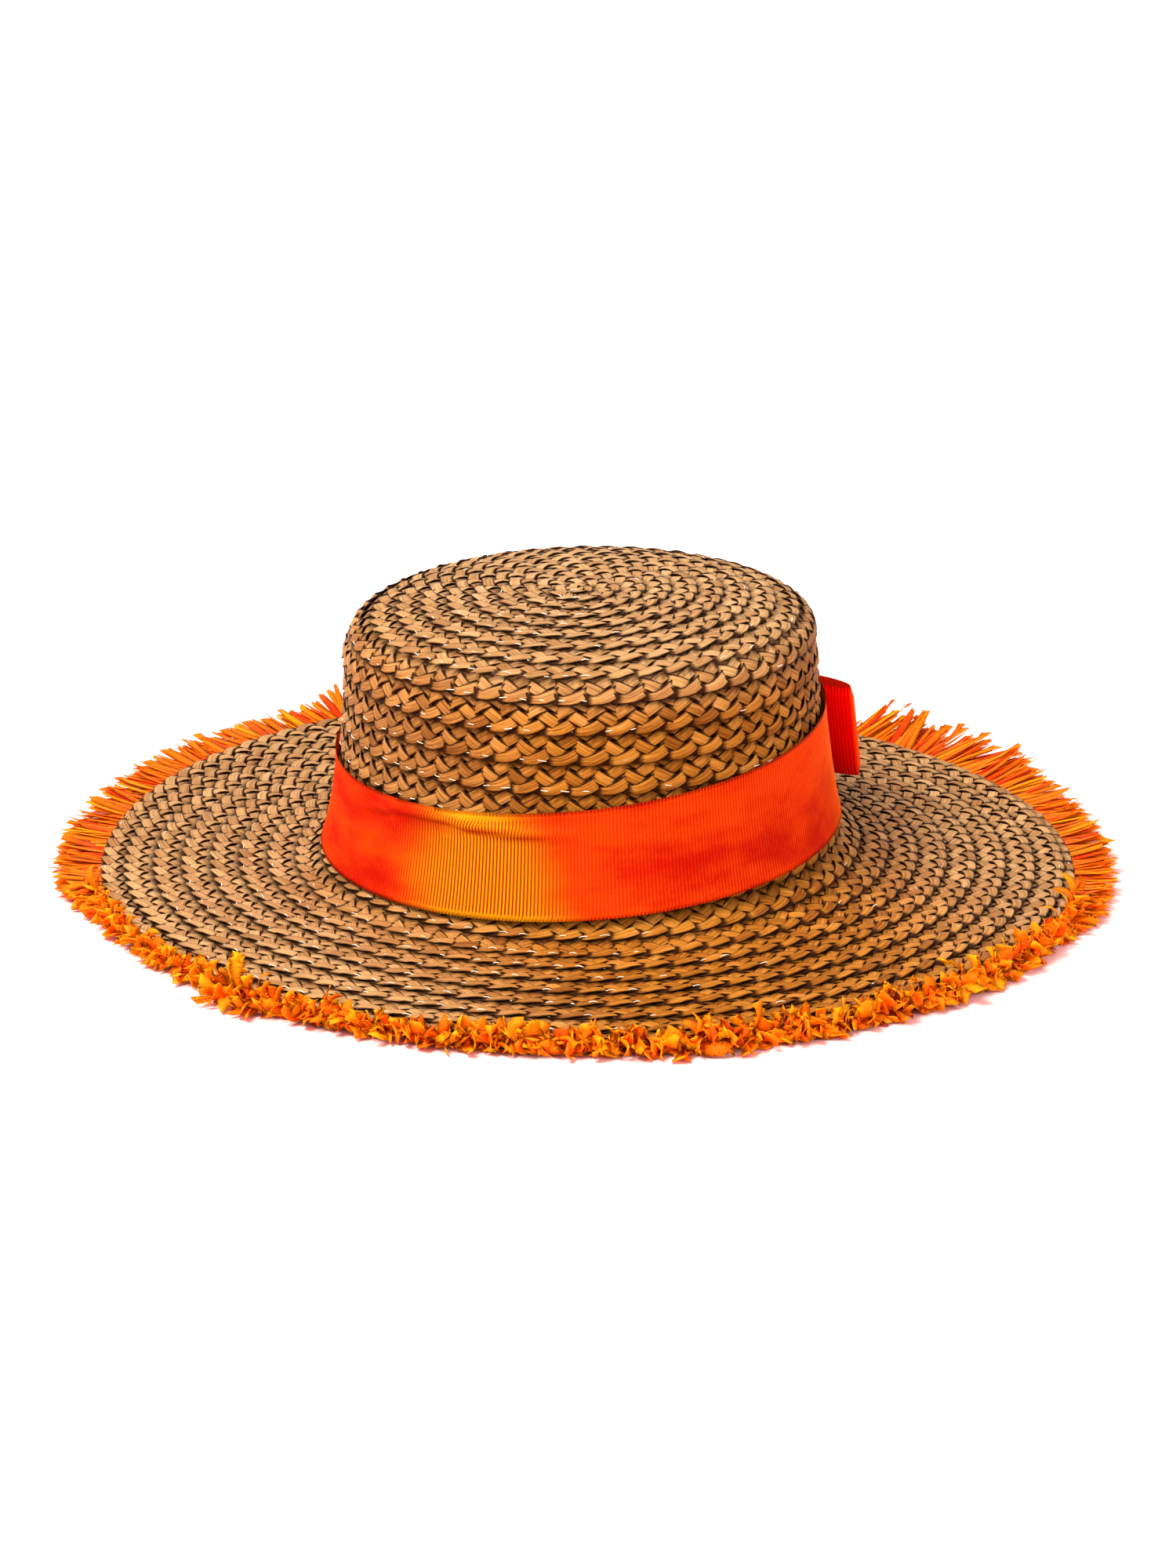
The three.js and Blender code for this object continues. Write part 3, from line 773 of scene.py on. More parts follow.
class Outline:
    """The hat's side view from the middle of the tip to the brim's edge, measured along its length."""

    def __init__(self):
        tip = [(out * TIP_HALF_WIDTH, SHOULDER_HEIGHT + up * TIP_DOME_RISE) for out, up in TIP_OUTLINE]
        reach = FOOT_HALF_WIDTH - TIP_HALF_WIDTH
        side = [(TIP_HALF_WIDTH + out * reach, FOOT_HEIGHT + up * SIDE_RISE) for out, up in SIDE_OUTLINE]
        steps = [step / PROFILE_STEPS for step in range(1, PROFILE_STEPS + 1)]
        points = [tip[0]]
        points += [smooth_point(tip, share) for share in steps]
        points += [smooth_point(side, share) for share in steps]
        outs = [FOOT_HALF_WIDTH + share * BRIM_WIDTH for share in steps]
        points += [(out, brim_height(out)) for out in outs]
        self.points = points
        self.lengths = [0.0]
        for before, after in zip(points, points[1:]):
            self.lengths.append(self.lengths[-1] + math.dist(before, after))
        self.tip = self.lengths[PROFILE_STEPS]
        self.side = self.lengths[2 * PROFILE_STEPS] - self.tip
        self.brim = self.lengths[-1] - self.tip - self.side

    def at(self, distance):
        distance = min(max(distance, 0.0), self.lengths[-1])
        after = min(max(bisect.bisect_left(self.lengths, distance), 1), len(self.points) - 1)
        start = self.lengths[after - 1]
        part = (distance - start) / (self.lengths[after] - start)
        (out_from, up_from), (out_to, up_to) = self.points[after - 1], self.points[after]
        return out_from + (out_to - out_from) * part, up_from + (up_to - up_from) * part

    def place(self, distance, turn):
        out, up = self.at(distance)
        return on_oval(out, up, turn)

    def outward(self, distance, turn):
        """The direction square to the surface."""
        reach = 1.5 * MM
        distance = max(distance, 2 * reach)
        down = self.place(distance + reach, turn) - self.place(distance - reach, turn)
        round_it = self.place(distance, turn + TURN_STEP) - self.place(distance, turn - TURN_STEP)
        return down.cross(round_it).normalized()

    def lip(self, rows):
        """How far along the outline the plait's lip lies, a number of rows from the middle."""
        if rows < TIP_ROWS:
            return rows / TIP_ROWS * self.tip
        if rows < CROWN_ROWS:
            return self.tip + (rows - TIP_ROWS) / SIDE_ROWS * self.side
        part = min(1.0, (rows - CROWN_ROWS) / BRIM_ROWS)
        return self.tip + self.side + part * self.brim


def row_turn(rows):
    return SEAM_TURN + 2 * math.pi * rows


def spiral_stations(outline, first_row, last_row, run, gap):
    """Evenly spaced stations of the plait, from one row to another."""
    stations = []
    rows = first_row
    while rows <= last_row:
        lip = outline.lip(rows)
        turn = row_turn(rows)
        sink = LAST_ROW_SINK * min(max(rows - ALL_ROWS, 0.0), 1.0)
        cover = (lip - outline.lip(rows - 1)) / PLAIT_WIDTH if rows > 1 else FIRST_ROW_COVER
        station = {"run": run, "cover": cover}
        for name, inset in (("lip", 0.0), ("middle", 0.5), ("inner", 1.0)):
            distance = max(lip - inset * PLAIT_WIDTH, 0.0)
            outward = outline.outward(distance, turn)
            station[name + "_outward"] = outward
            station[name + "_place"] = outline.place(distance, turn) - outward * sink
        stations.append(station)
        further = outline.place(outline.lip(rows + ROW_STEP), row_turn(rows + ROW_STEP))
        travelled = (further - outline.place(lip, turn)).length
        rows += ROW_STEP * gap / travelled
        run += gap
    return stations, run


def guide(name, stations, closed=False):
    """A line of points that carries its stations' places and directions, for a tree to follow."""
    mesh = bpy.data.meshes.new(name)
    first = next(key for key in stations[0] if key.endswith("_place"))
    count = len(stations)
    edges = [(index, index + 1) for index in range(count - 1)]
    if closed:
        edges.append((count - 1, 0))
    mesh.from_pydata([station[first] for station in stations], edges, [])
    for key, value in stations[0].items():
        if isinstance(value, Vector):
            layer = mesh.attributes.new(key, "FLOAT_VECTOR", "POINT")
            layer.data.foreach_set("vector", [part for station in stations for part in station[key]])
        else:
            layer = mesh.attributes.new(key, "FLOAT", "POINT")
            layer.data.foreach_set("value", [station[key] for station in stations])
    return mesh


# The layers that the finishes read
KEPT_LAYERS = (
    "UVMap", "tone", "height", "rim_shade", "under", "tucked_shade",
    "groove_shade", "crease", "fold", "outside", "strip_share", "strip_tone_and_shade",
)


def grown(name, stations, group, sizes, finish, closed=False):
    """A plain mesh piece that a tree makes along a guide through the stations."""
    piece = bpy.data.objects.new(name, guide(name, stations, closed))
    bpy.context.scene.collection.objects.link(piece)
    grow = piece.modifiers.new("grow", "NODES")
    grow.node_group = group
    values = {**sizes, "Finish": finish}
    for item in group.interface.items_tree:
        if item.item_type == "SOCKET" and item.in_out == "INPUT" and item.name in values:
            grow[item.identifier] = values[item.name]
    depsgraph = bpy.context.evaluated_depsgraph_get()
    made = bpy.data.meshes.new_from_object(
        piece.evaluated_get(depsgraph), preserve_all_data_layers=True, depsgraph=depsgraph,
    )
    piece.modifiers.clear()
    piece.data = made
    made.name = name
    for layer in [layer.name for layer in made.attributes]:
        found = made.attributes.get(layer)
        if layer not in KEPT_LAYERS and not found.is_internal and not found.is_required:
            made.attributes.remove(found)
    if made.uv_layers:
        made.uv_layers.active_index = 0
    made.materials.clear()
    made.materials.append(finish)
    return piece


def worn(piece, slot, *nodes):
    """The piece rides on the hat and stands for these nodes; the slot is not used."""
    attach(piece, "root")
    if nodes:
        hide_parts(*nodes)


class Finish(Tree):
    """A material's node tree around one shader."""

    def __init__(self, name, **constants):
        self.material = bpy.data.materials.new(name)
        self.material.use_nodes = True
        super().__init__(self.material.node_tree)
        self.shader = self.group.nodes["Principled BSDF"]
        self.take(**constants)

    def take(self, **values):
        """Gives the shader's inputs their values."""
        for socket, value in values.items():
            self.feed(self.shader.inputs[socket.replace("_", " ")], value)

    def layer(self, name):
        node = self.node("ShaderNodeAttribute", attribute_name=name)
        return Number(self, node.outputs["Fac"])

    def flat_place(self):
        node = self.node("ShaderNodeUVMap", uv_map="UVMap")
        return Arrow(self, node.outputs[0])

    def object_place(self):
        return Arrow(self, self.node("ShaderNodeTexCoord").outputs["Object"])

    def scaled(self, place, x, y):
        return self.arrow("MULTIPLY", place, (x, y, 1.0))

    def blend(self, share, first, second):
        """Between two colours."""
        node = self.node("ShaderNodeMix", data_type="RGBA")
        self.feed(node.inputs["Factor"], share)
        colours = [socket for socket in node.inputs if socket.type == "RGBA"]
        for socket, value in zip(colours, (first, second)):
            self.feed(socket, (*value, 1.0) if isinstance(value, tuple) else value)
        return next(socket for socket in node.outputs if socket.type == "RGBA")

    def relief(self, height, distance, strength, below=None):
        node = self.node("ShaderNodeBump", {"Height": height, "Distance": distance, "Strength": strength})
        if below is not None:
            self.feed(node.inputs["Normal"], below)
        return node.outputs["Normal"]


def straw_finish():
    """Matt paper straw: each strand its own brown, with long fibres and folds; painted shade at the
    crossings, along the strand edges, under each lip and on the undersides, and painted sheen on the tip, the
    sides and the brightest strands.
    """
    finish = Finish("straw", IOR=1.4, Specular_IOR_Level=0.05)
    fibre = finish.flat_place()
    tone = finish.layer("tone")
    height = finish.layer("height")
    grain = finish.noise(finish.scaled(fibre, 4.2, 0.16), 1.0, 4.0, 0.7)
    pleats = finish.noise(finish.scaled(fibre, 1.5, 0.03), 1.0, 2.0, 0.4)
    crumple = finish.noise(finish.scaled(fibre, 0.35, 0.5), 1.0, 3.0, 0.6)
    bright = tone + grain * 1.35 + pleats * 1.1
    # Painted sheen: the straw turns paler high on the tip and towards the sides and back, where the light
    # from above falls and grazes
    x, y, z = finish.object_place().parts()
    backwards = finish.math("MAXIMUM", y, 0.0)
    on_sides = finish.ease(finish.math("ABSOLUTE", x) + backwards * 0.8, 42 * MM, 130 * MM)
    painted_sheen = finish.most(finish.ease(z, 76 * MM, 102 * MM), on_sides * 0.85)
    deep, light = (finish.blend(painted_sheen, *pair) for pair in zip(STRAW_PLAIN, STRAW_PAINTED_SHEEN))
    warm = finish.blend(finish.ease(bright, 0.0, 1.0), deep, light)
    # Painted highlight: the brightest parts of each strand turn paler, like a glint
    warm = finish.blend(finish.ease(bright, 0.7, 1.15) * 0.6, warm, STRAW_PAINTED_GLINT)
    fibres = finish.noise(finish.scaled(fibre, 7.0, 0.1), 1.0, 2.0, 0.5)
    warm = finish.blend(finish.ease(fibres, 0.07, 0.2) * 0.55, warm, STRAW_FIBRE)
    # Painted shade: dark where a strand dips under its neighbours, along its edges, where it slips under the
    # row before and on its underside
    sunk_shade = finish.ease(0 - height + crumple * 0.5, -0.15, 0.45) * 0.97
    rim_shade = finish.ease(finish.layer("rim_shade") + grain * 0.12, 0.7, 0.87) * 0.97
    tucked_shade = finish.layer("tucked_shade") * 0.85
    dark = finish.most(sunk_shade, rim_shade, tucked_shade, finish.layer("under"))
    folds = finish.relief(pleats + crumple * 0.4, 0.8 * MM, 0.8)
    finish.take(
        Base_Color=finish.blend(dark, warm, STRAW_PAINTED_SHADE),
        Roughness=0.5 - grain * 0.3 + crumple * 0.2,
        Normal=finish.relief(grain, 0.3 * MM, 0.8, folds),
    )
    return finish.material


def thread_finish():
    finish = Finish("clear thread", IOR=1.52, Roughness=0.3, Specular_IOR_Level=0.4)
    grain = finish.noise(finish.object_place(), 400.0)
    finish.take(Base_Color=finish.blend(finish.ease(grain, -0.4, 0.4), *THREAD))
    return finish.material


def ribbon_finish(name, sunny):
    """Orange-red grosgrain: bright ribs with painted shade in the hollows between them; on the band a painted
    sheen and painted shade under the crease, on the bow a painted highlight along the folds and a
    painted-shade red on the inner layer.
    """
    finish = Finish(name, IOR=1.3, Specular_IOR_Level=0.04)
    flat = finish.flat_place()
    threads = finish.noise(finish.scaled(flat, 0.5, 6.0), 1.0, 3.0)
    weft = finish.noise(finish.scaled(flat, 3.0, 0.25), 1.0, 3.0)
    glow = finish.noise(finish.scaled(flat, 0.02, 0.05), 1.0, 2.0)
    shade = finish.ease(glow + threads * 0.35 + weft * 0.25, -0.45, 0.45)
    if sunny:
        blotches = finish.noise(finish.scaled(flat, 0.035, 0.09), 1.0, 4.0, 0.6)
        body = finish.blend(finish.ease(shade - 0.5 + blotches * 1.2, -0.35, 0.35), *BAND_RED)
        # Painted sheen: a yellow-orange patch on part of the band's front where the key light catches the
        # ribs, with painted shade between the ribs stronger there
        x, y, _ = finish.object_place().parts()
        _, height, _ = flat.parts()
        turn = finish.math("ARCTAN2", y, x) + glow * 0.3 + threads * 0.12
        slant = height * 0.004 + weft * 0.1
        sheen_starts = finish.ease(turn, math.radians(-158), math.radians(-138))
        sheen_ends = finish.ease(turn + slant, math.radians(-124), math.radians(-108))
        warm = sheen_starts - sheen_ends
        # Painted sheen: the band turns lighter orange towards the bow
        bow_sheen_starts = finish.ease(turn, math.radians(-60), math.radians(-28))
        bow_sheen_ends = finish.ease(turn, math.radians(10), math.radians(30))
        body = finish.blend(warm * 0.92, body, BAND_PAINTED_SHEEN)
        body = finish.blend((bow_sheen_starts - bow_sheen_ends) * 0.7, body, BAND_SHEEN_BY_BOW)
        body = finish.blend(finish.ease(height, 36.4, 37.0) * 0.45, body, BAND_TOP_EDGE)
        # Painted shade just under the crease's fold
        body = finish.blend(finish.layer("crease") * 0.8, body, BAND_CREASE_SHADE)
        grooved = warm * 0.4 + 0.52
    else:
        # Painted shade: each loop's inner layer takes a purer red than its outer layer, for its shade and
        # bounced light
        outside = finish.blend(shade, *BOW_OUTSIDE)
        inside = finish.blend(shade, *BOW_INSIDE_PAINTED_SHADE)
        body = finish.blend(finish.layer("outside"), inside, outside)
        # Painted highlight along each loop's fold
        body = finish.blend(finish.layer("fold"), body, BOW_FOLD_HIGHLIGHT)
        grooved = 0.15
    # Painted shade: deep red in the hollows between the ribs
    grooves = finish.ease(finish.layer("groove_shade"), 0.25, 0.8) * grooved
    finish.take(
        Base_Color=finish.blend(grooves, body, RIB_GROOVE_SHADE),
        Roughness=0.5 + threads * 0.3,
        Normal=finish.relief(threads + weft, 0.25 * MM, 0.5),
    )
    return finish.material


def raffia_finish():
    """Dyed raffia: each strip between red-orange and yellow-orange, from its own tone and from painted shade
    on the lower strips, with long fibres.
    """
    finish = Finish(
        "raffia", IOR=1.3, Specular_IOR_Level=0.1,
        Subsurface_Weight=0.4, Subsurface_Scale=2 * MM, Subsurface_Radius=(1.0, 0.35, 0.08),
    )
    fibre = finish.noise(finish.scaled(finish.flat_place(), 4.0, 0.25), 1.0, 3.0)
    share = finish.layer("strip_share")
    # Lighter towards the strips' ends, and from the stored tone with its painted shade
    bright = finish.layer("strip_tone_and_shade") + fibre * 0.6 + (share - 0.5) * 0.3
    deep, middle, light = RAFFIA
    colour = finish.blend(finish.ease(bright, 0.0, 0.45), deep, middle)
    finish.take(
        Base_Color=finish.blend(finish.ease(bright, 0.45, 1.0), colour, light),
        Roughness=0.52 + fibre * 0.3,
        Normal=finish.relief(fibre, 0.3 * MM, 0.6),
    )
    return finish.material


def over_lips(outline, up):
    """The half width at a height of a line drawn over the lips of the crown's side."""
    lips = []
    for row in range(1, SIDE_ROWS + 1):
        distance = outline.tip + outline.side * row / SIDE_ROWS
        step = 0.5 * MM
        (out_from, up_from), (out_to, up_to) = outline.at(distance - step), outline.at(distance)
        length = math.hypot(out_to - out_from, up_to - up_from)
        out_step = (up_from - up_to) / length * LIP_STEP
        up_step = (out_to - out_from) / length * LIP_STEP
        lips.append((out_to + out_step, up_to + up_step))
    below = next((index for index, lip in enumerate(lips) if lip[1] <= up), len(lips) - 1)
    (high_out, high_up), (low_out, low_up) = lips[max(below, 1) - 1], lips[max(below, 1)]
    return low_out + (high_out - low_out) * (up - low_up) / (high_up - low_up)


def band_height(share, turn):
    """How high the band is at a turn, at a share of the way from its foot to its top."""
    from_middle = FOOT_HALF_WIDTH * math.cos(turn - BAND_HIGH_TURN)
    bottom = BAND_FOOT_HEIGHT + from_middle * math.tan(BAND_BOTTOM_TILT)
    top = BAND_FOOT_HEIGHT + BAND_WIDTH + from_middle * math.tan(BAND_TOP_TILT)
    return bottom + (top - bottom) * share


def table_at(rows, degrees):
    """The values beside a turn in a table of turns, worked out between its rows."""
    degrees = min(max(degrees, rows[0][0]), rows[-1][0])
    after = max(next(index for index, row in enumerate(rows) if row[0] >= degrees), 1)
    before, behind = rows[after - 1], rows[after]
    part = (degrees - before[0]) / (behind[0] - before[0])
    return [low + (high - low) * part for low, high in zip(before[1:], behind[1:])]


def band_stations(outline):
    """Stations of the band, which lies over the lips of the crown's side."""
    around = 2 * math.pi * (FOOT_HALF_WIDTH + CROWN_LENGTHENING / 2)
    ribs = round(around / RIB_PITCH)
    count = ribs * round(RIB_PITCH / RIBBON_STEP)
    stations = []
    for step in range(count):
        turn = 2 * math.pi * step / count
        places = []
        for share in (0.0, 0.5, 1.0):
            up = band_height(share, turn)
            places.append(on_crown(over_lips(outline, up) + BAND_OFF_LIPS, up, turn))
        up = band_height(0.5, turn)
        out = over_lips(outline, up)
        round_it = on_crown(out, up, turn + TURN_STEP) - on_crown(out, up, turn - TURN_STEP)
        outward = round_it.cross(places[2] - places[0]).normalized()
        height, depth = table_at(CREASE, math.degrees(turn))
        stations.append({
            "low_place": places[0], "middle_place": places[1], "high_place": places[2], "outward": outward,
            "run": step * RIB_PITCH * ribs / count, "crease_height": height, "crease_depth": depth,
        })
    return stations


def bow_place(outline):
    """The bow's own frame: X to the hat's front, Y away from the crown and Z up along its side."""
    bottom, top = band_height(0.0, BOW_TURN), band_height(1.0, BOW_TURN)
    off_lips = CLEARANCE + BAND_WALL
    low = on_crown(over_lips(outline, bottom) + off_lips, bottom, BOW_TURN) - HAT_SHIFT
    high = on_crown(over_lips(outline, top) + off_lips, top, BOW_TURN) - HAT_SHIFT
    across_it = low.x / math.cos(BOW_TURN)
    lengthwise = low.y / math.sin(BOW_TURN)
    facing = math.atan2(low.y / lengthwise**2, low.x / across_it**2)
    inwards = math.hypot(low.x - high.x, low.y - high.y)
    foot = (BAND_WIDTH - BOW_RIBBON_WIDTH) / 2 - BOW_DROP
    stand = Matrix.Translation(low + (high - low) * (foot / BAND_WIDTH) + HAT_SHIFT)
    turn = Matrix.Rotation(facing - math.pi / 2, 4, "Z")
    lean = Matrix.Rotation(math.atan2(inwards, high.z - low.z), 4, "X")
    return stand @ turn @ lean


def bow_station(frame, low, high, outward, run, **layers):
    """A station of a bow ribbon, given by its two edges in the bow's frame."""
    low, high = Vector(low), Vector(high)
    return {
        "low_place": frame @ low, "middle_place": frame @ ((low + high) / 2), "high_place": frame @ high,
        "outward": (frame.to_3x3() @ outward).normalized(), "run": run,
        "crease_height": 0.5, "crease_depth": 0.0, **layers,
    }


def loop_stations(frame, line):
    """Stations of a ribbon standing on its edge along a line seen from above."""
    stations = []
    run = 0.0
    end = max(abs(x) for x, _ in line)
    for index, (x, y) in enumerate(line):
        before = line[max(index - 1, 0)]
        after = line[min(index + 1, len(line) - 1)]
        heading = Vector((after[0] - before[0], after[1] - before[1])).normalized()
        outward = Vector((-heading.y, heading.x, 0.0))
        if index:
            run += math.dist(line[index - 1], (x, y))
        low, high = (x, y, 0.0), (x, y, BOW_RIBBON_WIDTH)
        # Mask for the painted highlight along the fold
        fold = math.exp(-(((end - abs(x)) / FOLD_HIGHLIGHT_REACH) ** 2))
        # The first half of each loop is its inner layer, which takes the painted-shade red
        outside = float(index > len(line) / 2)
        stations.append(bow_station(frame, low, high, outward, run, fold=fold, outside=outside))
    return stations


def evenly(points, gap):
    """Points at even gaps along a line of closer points."""
    lengths = [0.0]
    for before, after in zip(points, points[1:]):
        lengths.append(lengths[-1] + math.dist(before, after))
    count = max(round(lengths[-1] / gap), 2)
    spaced = []
    for step in range(count + 1):
        length = lengths[-1] * step / count
        after = min(max(bisect.bisect_left(lengths, length), 1), len(points) - 1)
        part = (length - lengths[after - 1]) / (lengths[after] - lengths[after - 1])
        spaced.append([a + (b - a) * part for a, b in zip(points[after - 1], points[after])])
    return spaced


def loop_line(direction):
    """One loop of the bow seen from above, from under the knot out to the fold and back over itself."""
    leaving = KNOT_WIDTH / 2 + BOW_RIBBON_THICKNESS
    bend = [(leaving, INNER_LAYER)]
    bend += [(along * LOOP_LENGTH, INNER_LAYER + out * LOOP_DEPTH) for along, out in LOOP_OUTLINE]
    bend.append((leaving, OUTER_LAYER))
    line = [(CLEARANCE, INNER_LAYER)]
    steps = 120
    line += [tuple(smooth_point(bend, step / steps)) for step in range(steps + 1)]
    line.append((CLEARANCE, OUTER_LAYER))
    return evenly([(direction * x, y) for x, y in line], RIBBON_STEP)


def knot_line():
    """The ring of ribbon round the middle of the bow, seen along the bow, with soft corners."""
    near = INNER_LAYER - BOW_RIBBON_THICKNESS / 2 - CLEARANCE
    far = OUTER_LAYER + BOW_RIBBON_THICKNESS / 2 + CLEARANCE
    low = -CLEARANCE
    high = BOW_RIBBON_WIDTH + CLEARANCE
    half_depth, half_height = (far - near) / 2, (high - low) / 2
    centre = ((far + near) / 2, (high + low) / 2)
    corner = 0.35
    line = []
    steps = 240
    for step in range(steps):
        angle = 2 * math.pi * step / steps
        c, s = math.cos(angle), math.sin(angle)
        y = centre[0] + math.copysign(abs(c) ** corner, c) * half_depth
        z = centre[1] + math.copysign(abs(s) ** corner, s) * half_height
        line.append((y, z))
    line.append(line[0])
    return evenly(line, RIBBON_STEP)[:-1]


def knot_stations(frame):
    """Stations round the ring of ribbon in the middle of the bow."""
    stations = []
    line = knot_line()
    half = KNOT_WIDTH / 2 * KNOT_PINCH
    run = 0.0
    for index, (y, z) in enumerate(line):
        before, after = line[index - 1], line[(index + 1) % len(line)]
        heading = Vector((0.0, after[0] - before[0], after[1] - before[1])).normalized()
        outward = heading.cross(Vector((-1.0, 0.0, 0.0))).normalized()
        run += RIBBON_STEP
        stations.append(bow_station(frame, (-half, y, z), (half, y, z), outward, run, outside=1.0))
    return stations


def fringe_stations(outline):
    """Stations round the brim's edge for the roots of the raffia strips."""
    stations = []
    count = 720
    whole = outline.lengths[-1]
    for step in range(count):
        turn = 2 * math.pi * step / count
        degrees = 360 * step / count
        edge = outline.place(whole, turn)
        inside = outline.place(whole - 10 * MM, turn)
        away = edge - inside
        away.z = 0.0
        away.normalize()
        root = outline.place(whole - FRINGE_ROOT_INSET, turn)
        root.z -= WALL * 0.75
        reach, raised, curl = table_at(FRINGE_REACH, degrees)
        for at, spread, longer, higher in TUFTS:
            near = math.exp(-(((degrees - at + 180) % 360 - 180) / spread) ** 2)
            reach += longer * near
            raised += higher * near
        stations.append({"root_place": root, "away": away, "curl": curl, "reach": reach, "raised": raised})
    return stations


def make_ribbons(outline):
    """The band, the two loops of the bow and the knot."""
    sunny = ribbon_finish("sunlit ribbon", True)
    plain = ribbon_finish("ribbon", False)
    ribbon = ribbon_tree(RIBBON)
    band = grown("band_ribbon", band_stations(outline), ribbon, RIBBON, sunny, closed=True)
    worn(band, "grosgrain_ribbon", "ribbon_band")
    frame = bow_place(outline)
    loop_sizes = {**RIBBON, "Ribbon Width": BOW_RIBBON_WIDTH, "Waver": 0.25 * MM}
    for name, direction, node in (("front_loop", 1, "bow_front_loop"), ("back_loop", -1, "bow_back_loop")):
        stations = loop_stations(frame, loop_line(direction))
        loop = grown(name, stations, ribbon, {**loop_sizes, "Seed": 5.0 + direction}, plain)
        worn(loop, "grosgrain_ribbon", node)
    knot_sizes = {**RIBBON, "Ribbon Width": KNOT_WIDTH, "Waver": 0.3 * MM, "Seed": 8.0}
    knot = grown("knot_ribbon", knot_stations(frame), ribbon, knot_sizes, plain, closed=True)
    worn(knot, "grosgrain_ribbon", "bow_knot")


def main():
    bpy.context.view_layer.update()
    low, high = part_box("crown_tip")
    HAT_SHIFT.x = (low.x + high.x) / 2
    HAT_SHIFT.y = (low.y + high.y) / 2

    outline = Outline()
    straw = straw_finish()
    plait = plait_tree()
    rows = [
        ("crown_tip_plait", START_TURNS, TIP_ROWS, "crown_tip"),
        ("crown_side_plait", TIP_ROWS, CROWN_ROWS, "crown_side"),
        ("brim_inner_plait", CROWN_ROWS, CROWN_ROWS + INNER_BRIM_ROWS, "brim"),
        ("brim_outer_plait", CROWN_ROWS + INNER_BRIM_ROWS, ALL_ROWS + 1, "brim"),
    ]
    run = 0.0
    all_stations = []
    for name, first, last, node in rows:
        stations, run = spiral_stations(outline, first, last, run, STATION_GAP)
        piece = grown(name, stations, plait, PLAIT, straw)
        worn(piece, "straw_plait", node)
        all_stations += stations
    stitches = grown("clear_stitches", all_stations, stitch_tree(), STITCH, thread_finish())
    worn(stitches, "straw_plait")
    make_ribbons(outline)
    fringe = grown(
        "raffia_fringe", fringe_stations(outline), fringe_tree(), FRINGE, raffia_finish(), closed=True,
    )
    worn(fringe, "raffia_fringe", "fringe")

    add_studio()


# Camera, light and floor
PHOTO_SIDE_TURN = math.radians(23)
PHOTO_RISE = math.radians(18.7)
PHOTO_ROLL = math.radians(-1.15)
PHOTO_DISTANCE = 1.4
PHOTO_LONG_SIDE = 2000
SENSOR_WIDTH = 36
PHOTO_FOCAL = 4955 / PHOTO_LONG_SIDE * SENSOR_WIDTH
PHOTO_SHIFT = 79 / PHOTO_LONG_SIDE
PHOTO_TARGET = Vector((0.0024, -0.0010, 0.0052))


def add_camera():
    camera = bpy.data.objects.new("camera", bpy.data.cameras.new("camera"))
    bpy.context.scene.collection.objects.link(camera)
    camera.data.lens = PHOTO_FOCAL
    camera.data.sensor_width = SENSOR_WIDTH
    camera.data.clip_start = 0.05
    camera.data.clip_end = 30
    camera.data.shift_y = PHOTO_SHIFT
    away = Vector((
        -math.sin(PHOTO_SIDE_TURN) * math.cos(PHOTO_RISE),
        -math.cos(PHOTO_SIDE_TURN) * math.cos(PHOTO_RISE),
        math.sin(PHOTO_RISE),
    ))
    camera.rotation_mode = "QUATERNION"
    camera.location = PHOTO_TARGET + away * PHOTO_DISTANCE
    facing = (-away).to_track_quat("-Z", "Y").to_matrix()
    camera.rotation_quaternion = (facing @ Matrix.Rotation(PHOTO_ROLL, 3, "Z")).to_quaternion()
    bpy.context.scene.camera = camera


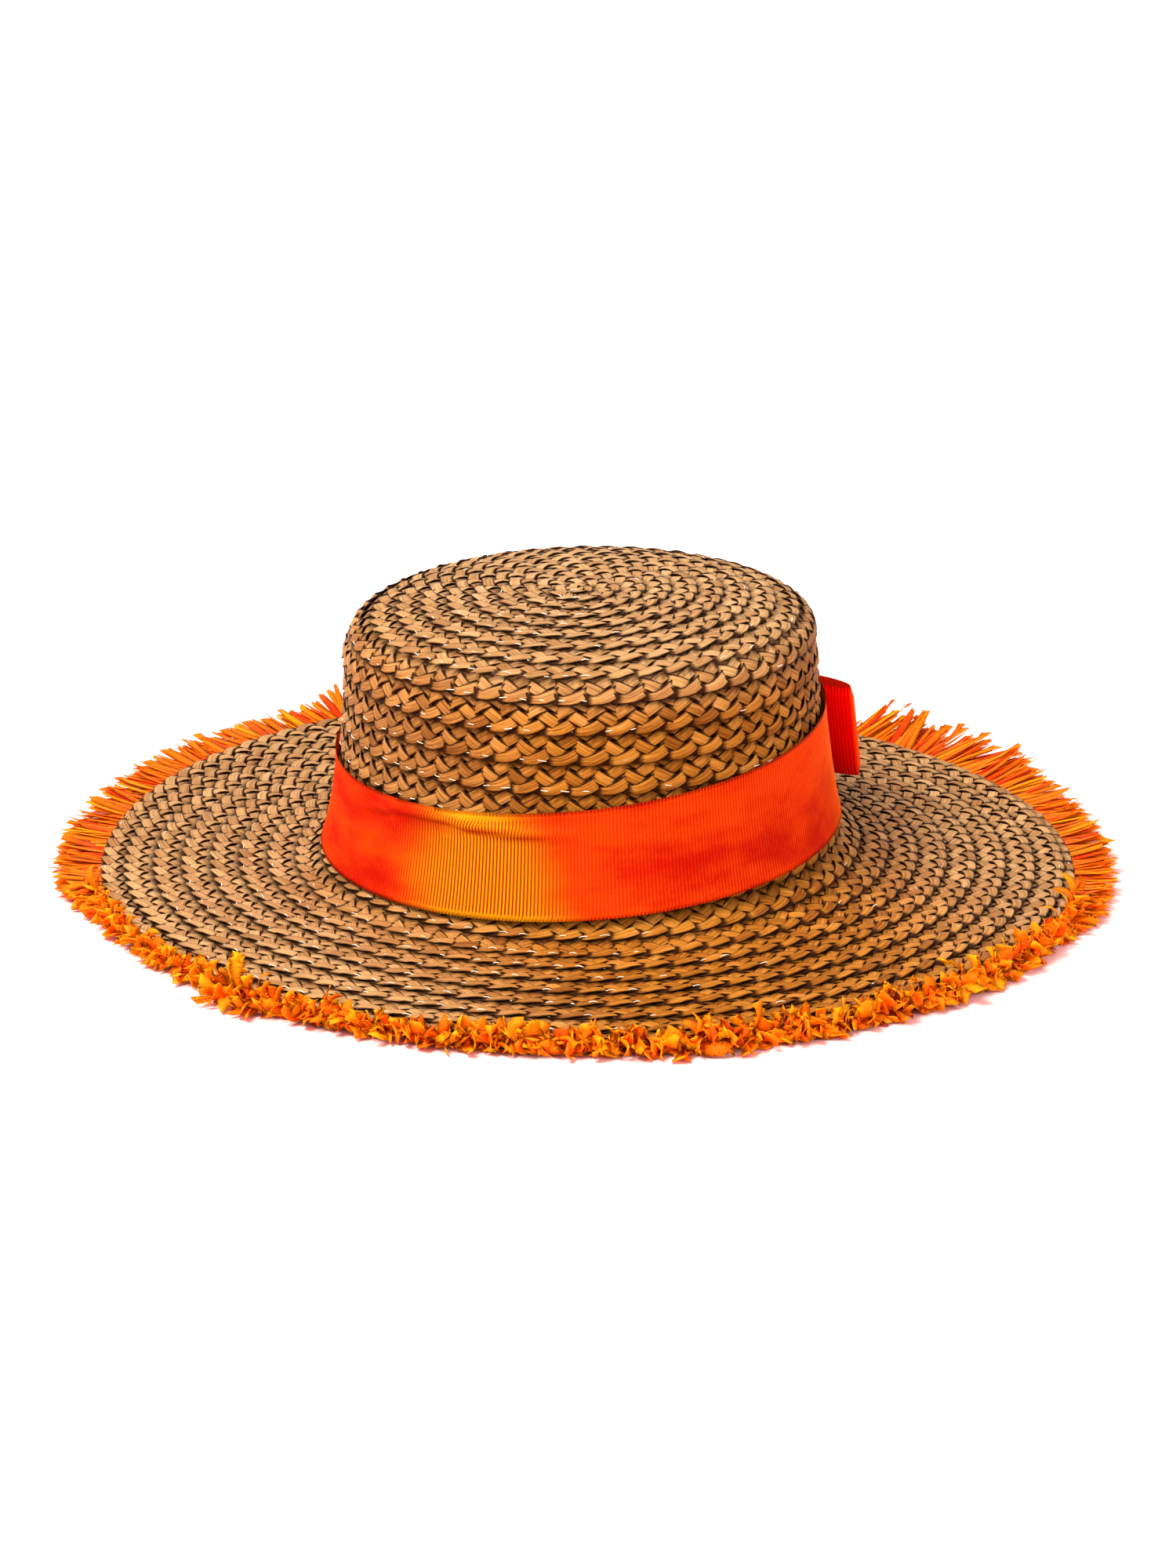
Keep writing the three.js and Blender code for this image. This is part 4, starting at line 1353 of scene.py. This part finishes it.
def add_lamp(name, place, aim, size, power, colour=(1.0, 1.0, 1.0)):
    lamp = bpy.data.lights.new(name, "AREA")
    lamp.shape = "DISK"
    lamp.size = size
    lamp.energy = power
    lamp.color = colour
    holder = bpy.data.objects.new(name, lamp)
    bpy.context.scene.collection.objects.link(holder)
    holder.location = place
    holder.rotation_mode = "QUATERNION"
    holder.rotation_quaternion = (Vector(aim) - Vector(place)).to_track_quat("-Z", "Y")


def add_studio():
    add_camera()
    scene = bpy.context.scene
    scene.view_settings.view_transform = "Standard"
    world = bpy.data.worlds.new("studio")
    world.use_nodes = True
    world.node_tree.nodes["Background"].inputs["Color"].default_value = (1.0, 1.0, 1.0, 1.0)
    world.node_tree.nodes["Background"].inputs["Strength"].default_value = 1.0
    scene.world = world
    add_lamp("key", (-0.75, -0.25, 1.4), (0.0, 0.0, 0.03), 0.8, 44, (1.0, 0.98, 0.95))
    add_lamp("fill", (0.7, -1.7, 0.7), (0.0, 0.0, 0.03), 0.8, 13)

    half = 4.0
    floor = bpy.data.meshes.new("floor")
    corners = [(-half, -half, 0), (half, -half, 0), (half, half, 0), (-half, half, 0)]
    floor.from_pydata(corners, [], [(0, 1, 2, 3)])
    paper = Finish("white paper", Roughness=0.9)
    # Painted glow: the paper turns pink near the hat, for the red-tinted shadow and the light bounced off the
    # fringe
    from_hat = paper.math("SQRT", paper.object_place().dot(paper.object_place()))
    away = paper.ease(from_hat, 0.26, 0.6)
    paper.take(Base_Color=paper.blend(away, *FLOOR))
    floor.materials.append(paper.material)
    ground = bpy.data.objects.new("floor", floor)
    scene.collection.objects.link(ground)


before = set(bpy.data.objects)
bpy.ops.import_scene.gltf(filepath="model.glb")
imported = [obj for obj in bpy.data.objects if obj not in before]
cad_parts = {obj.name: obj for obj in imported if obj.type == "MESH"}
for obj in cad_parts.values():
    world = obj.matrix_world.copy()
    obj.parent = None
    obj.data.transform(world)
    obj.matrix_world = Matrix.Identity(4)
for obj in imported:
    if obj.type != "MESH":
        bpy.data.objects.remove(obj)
main()
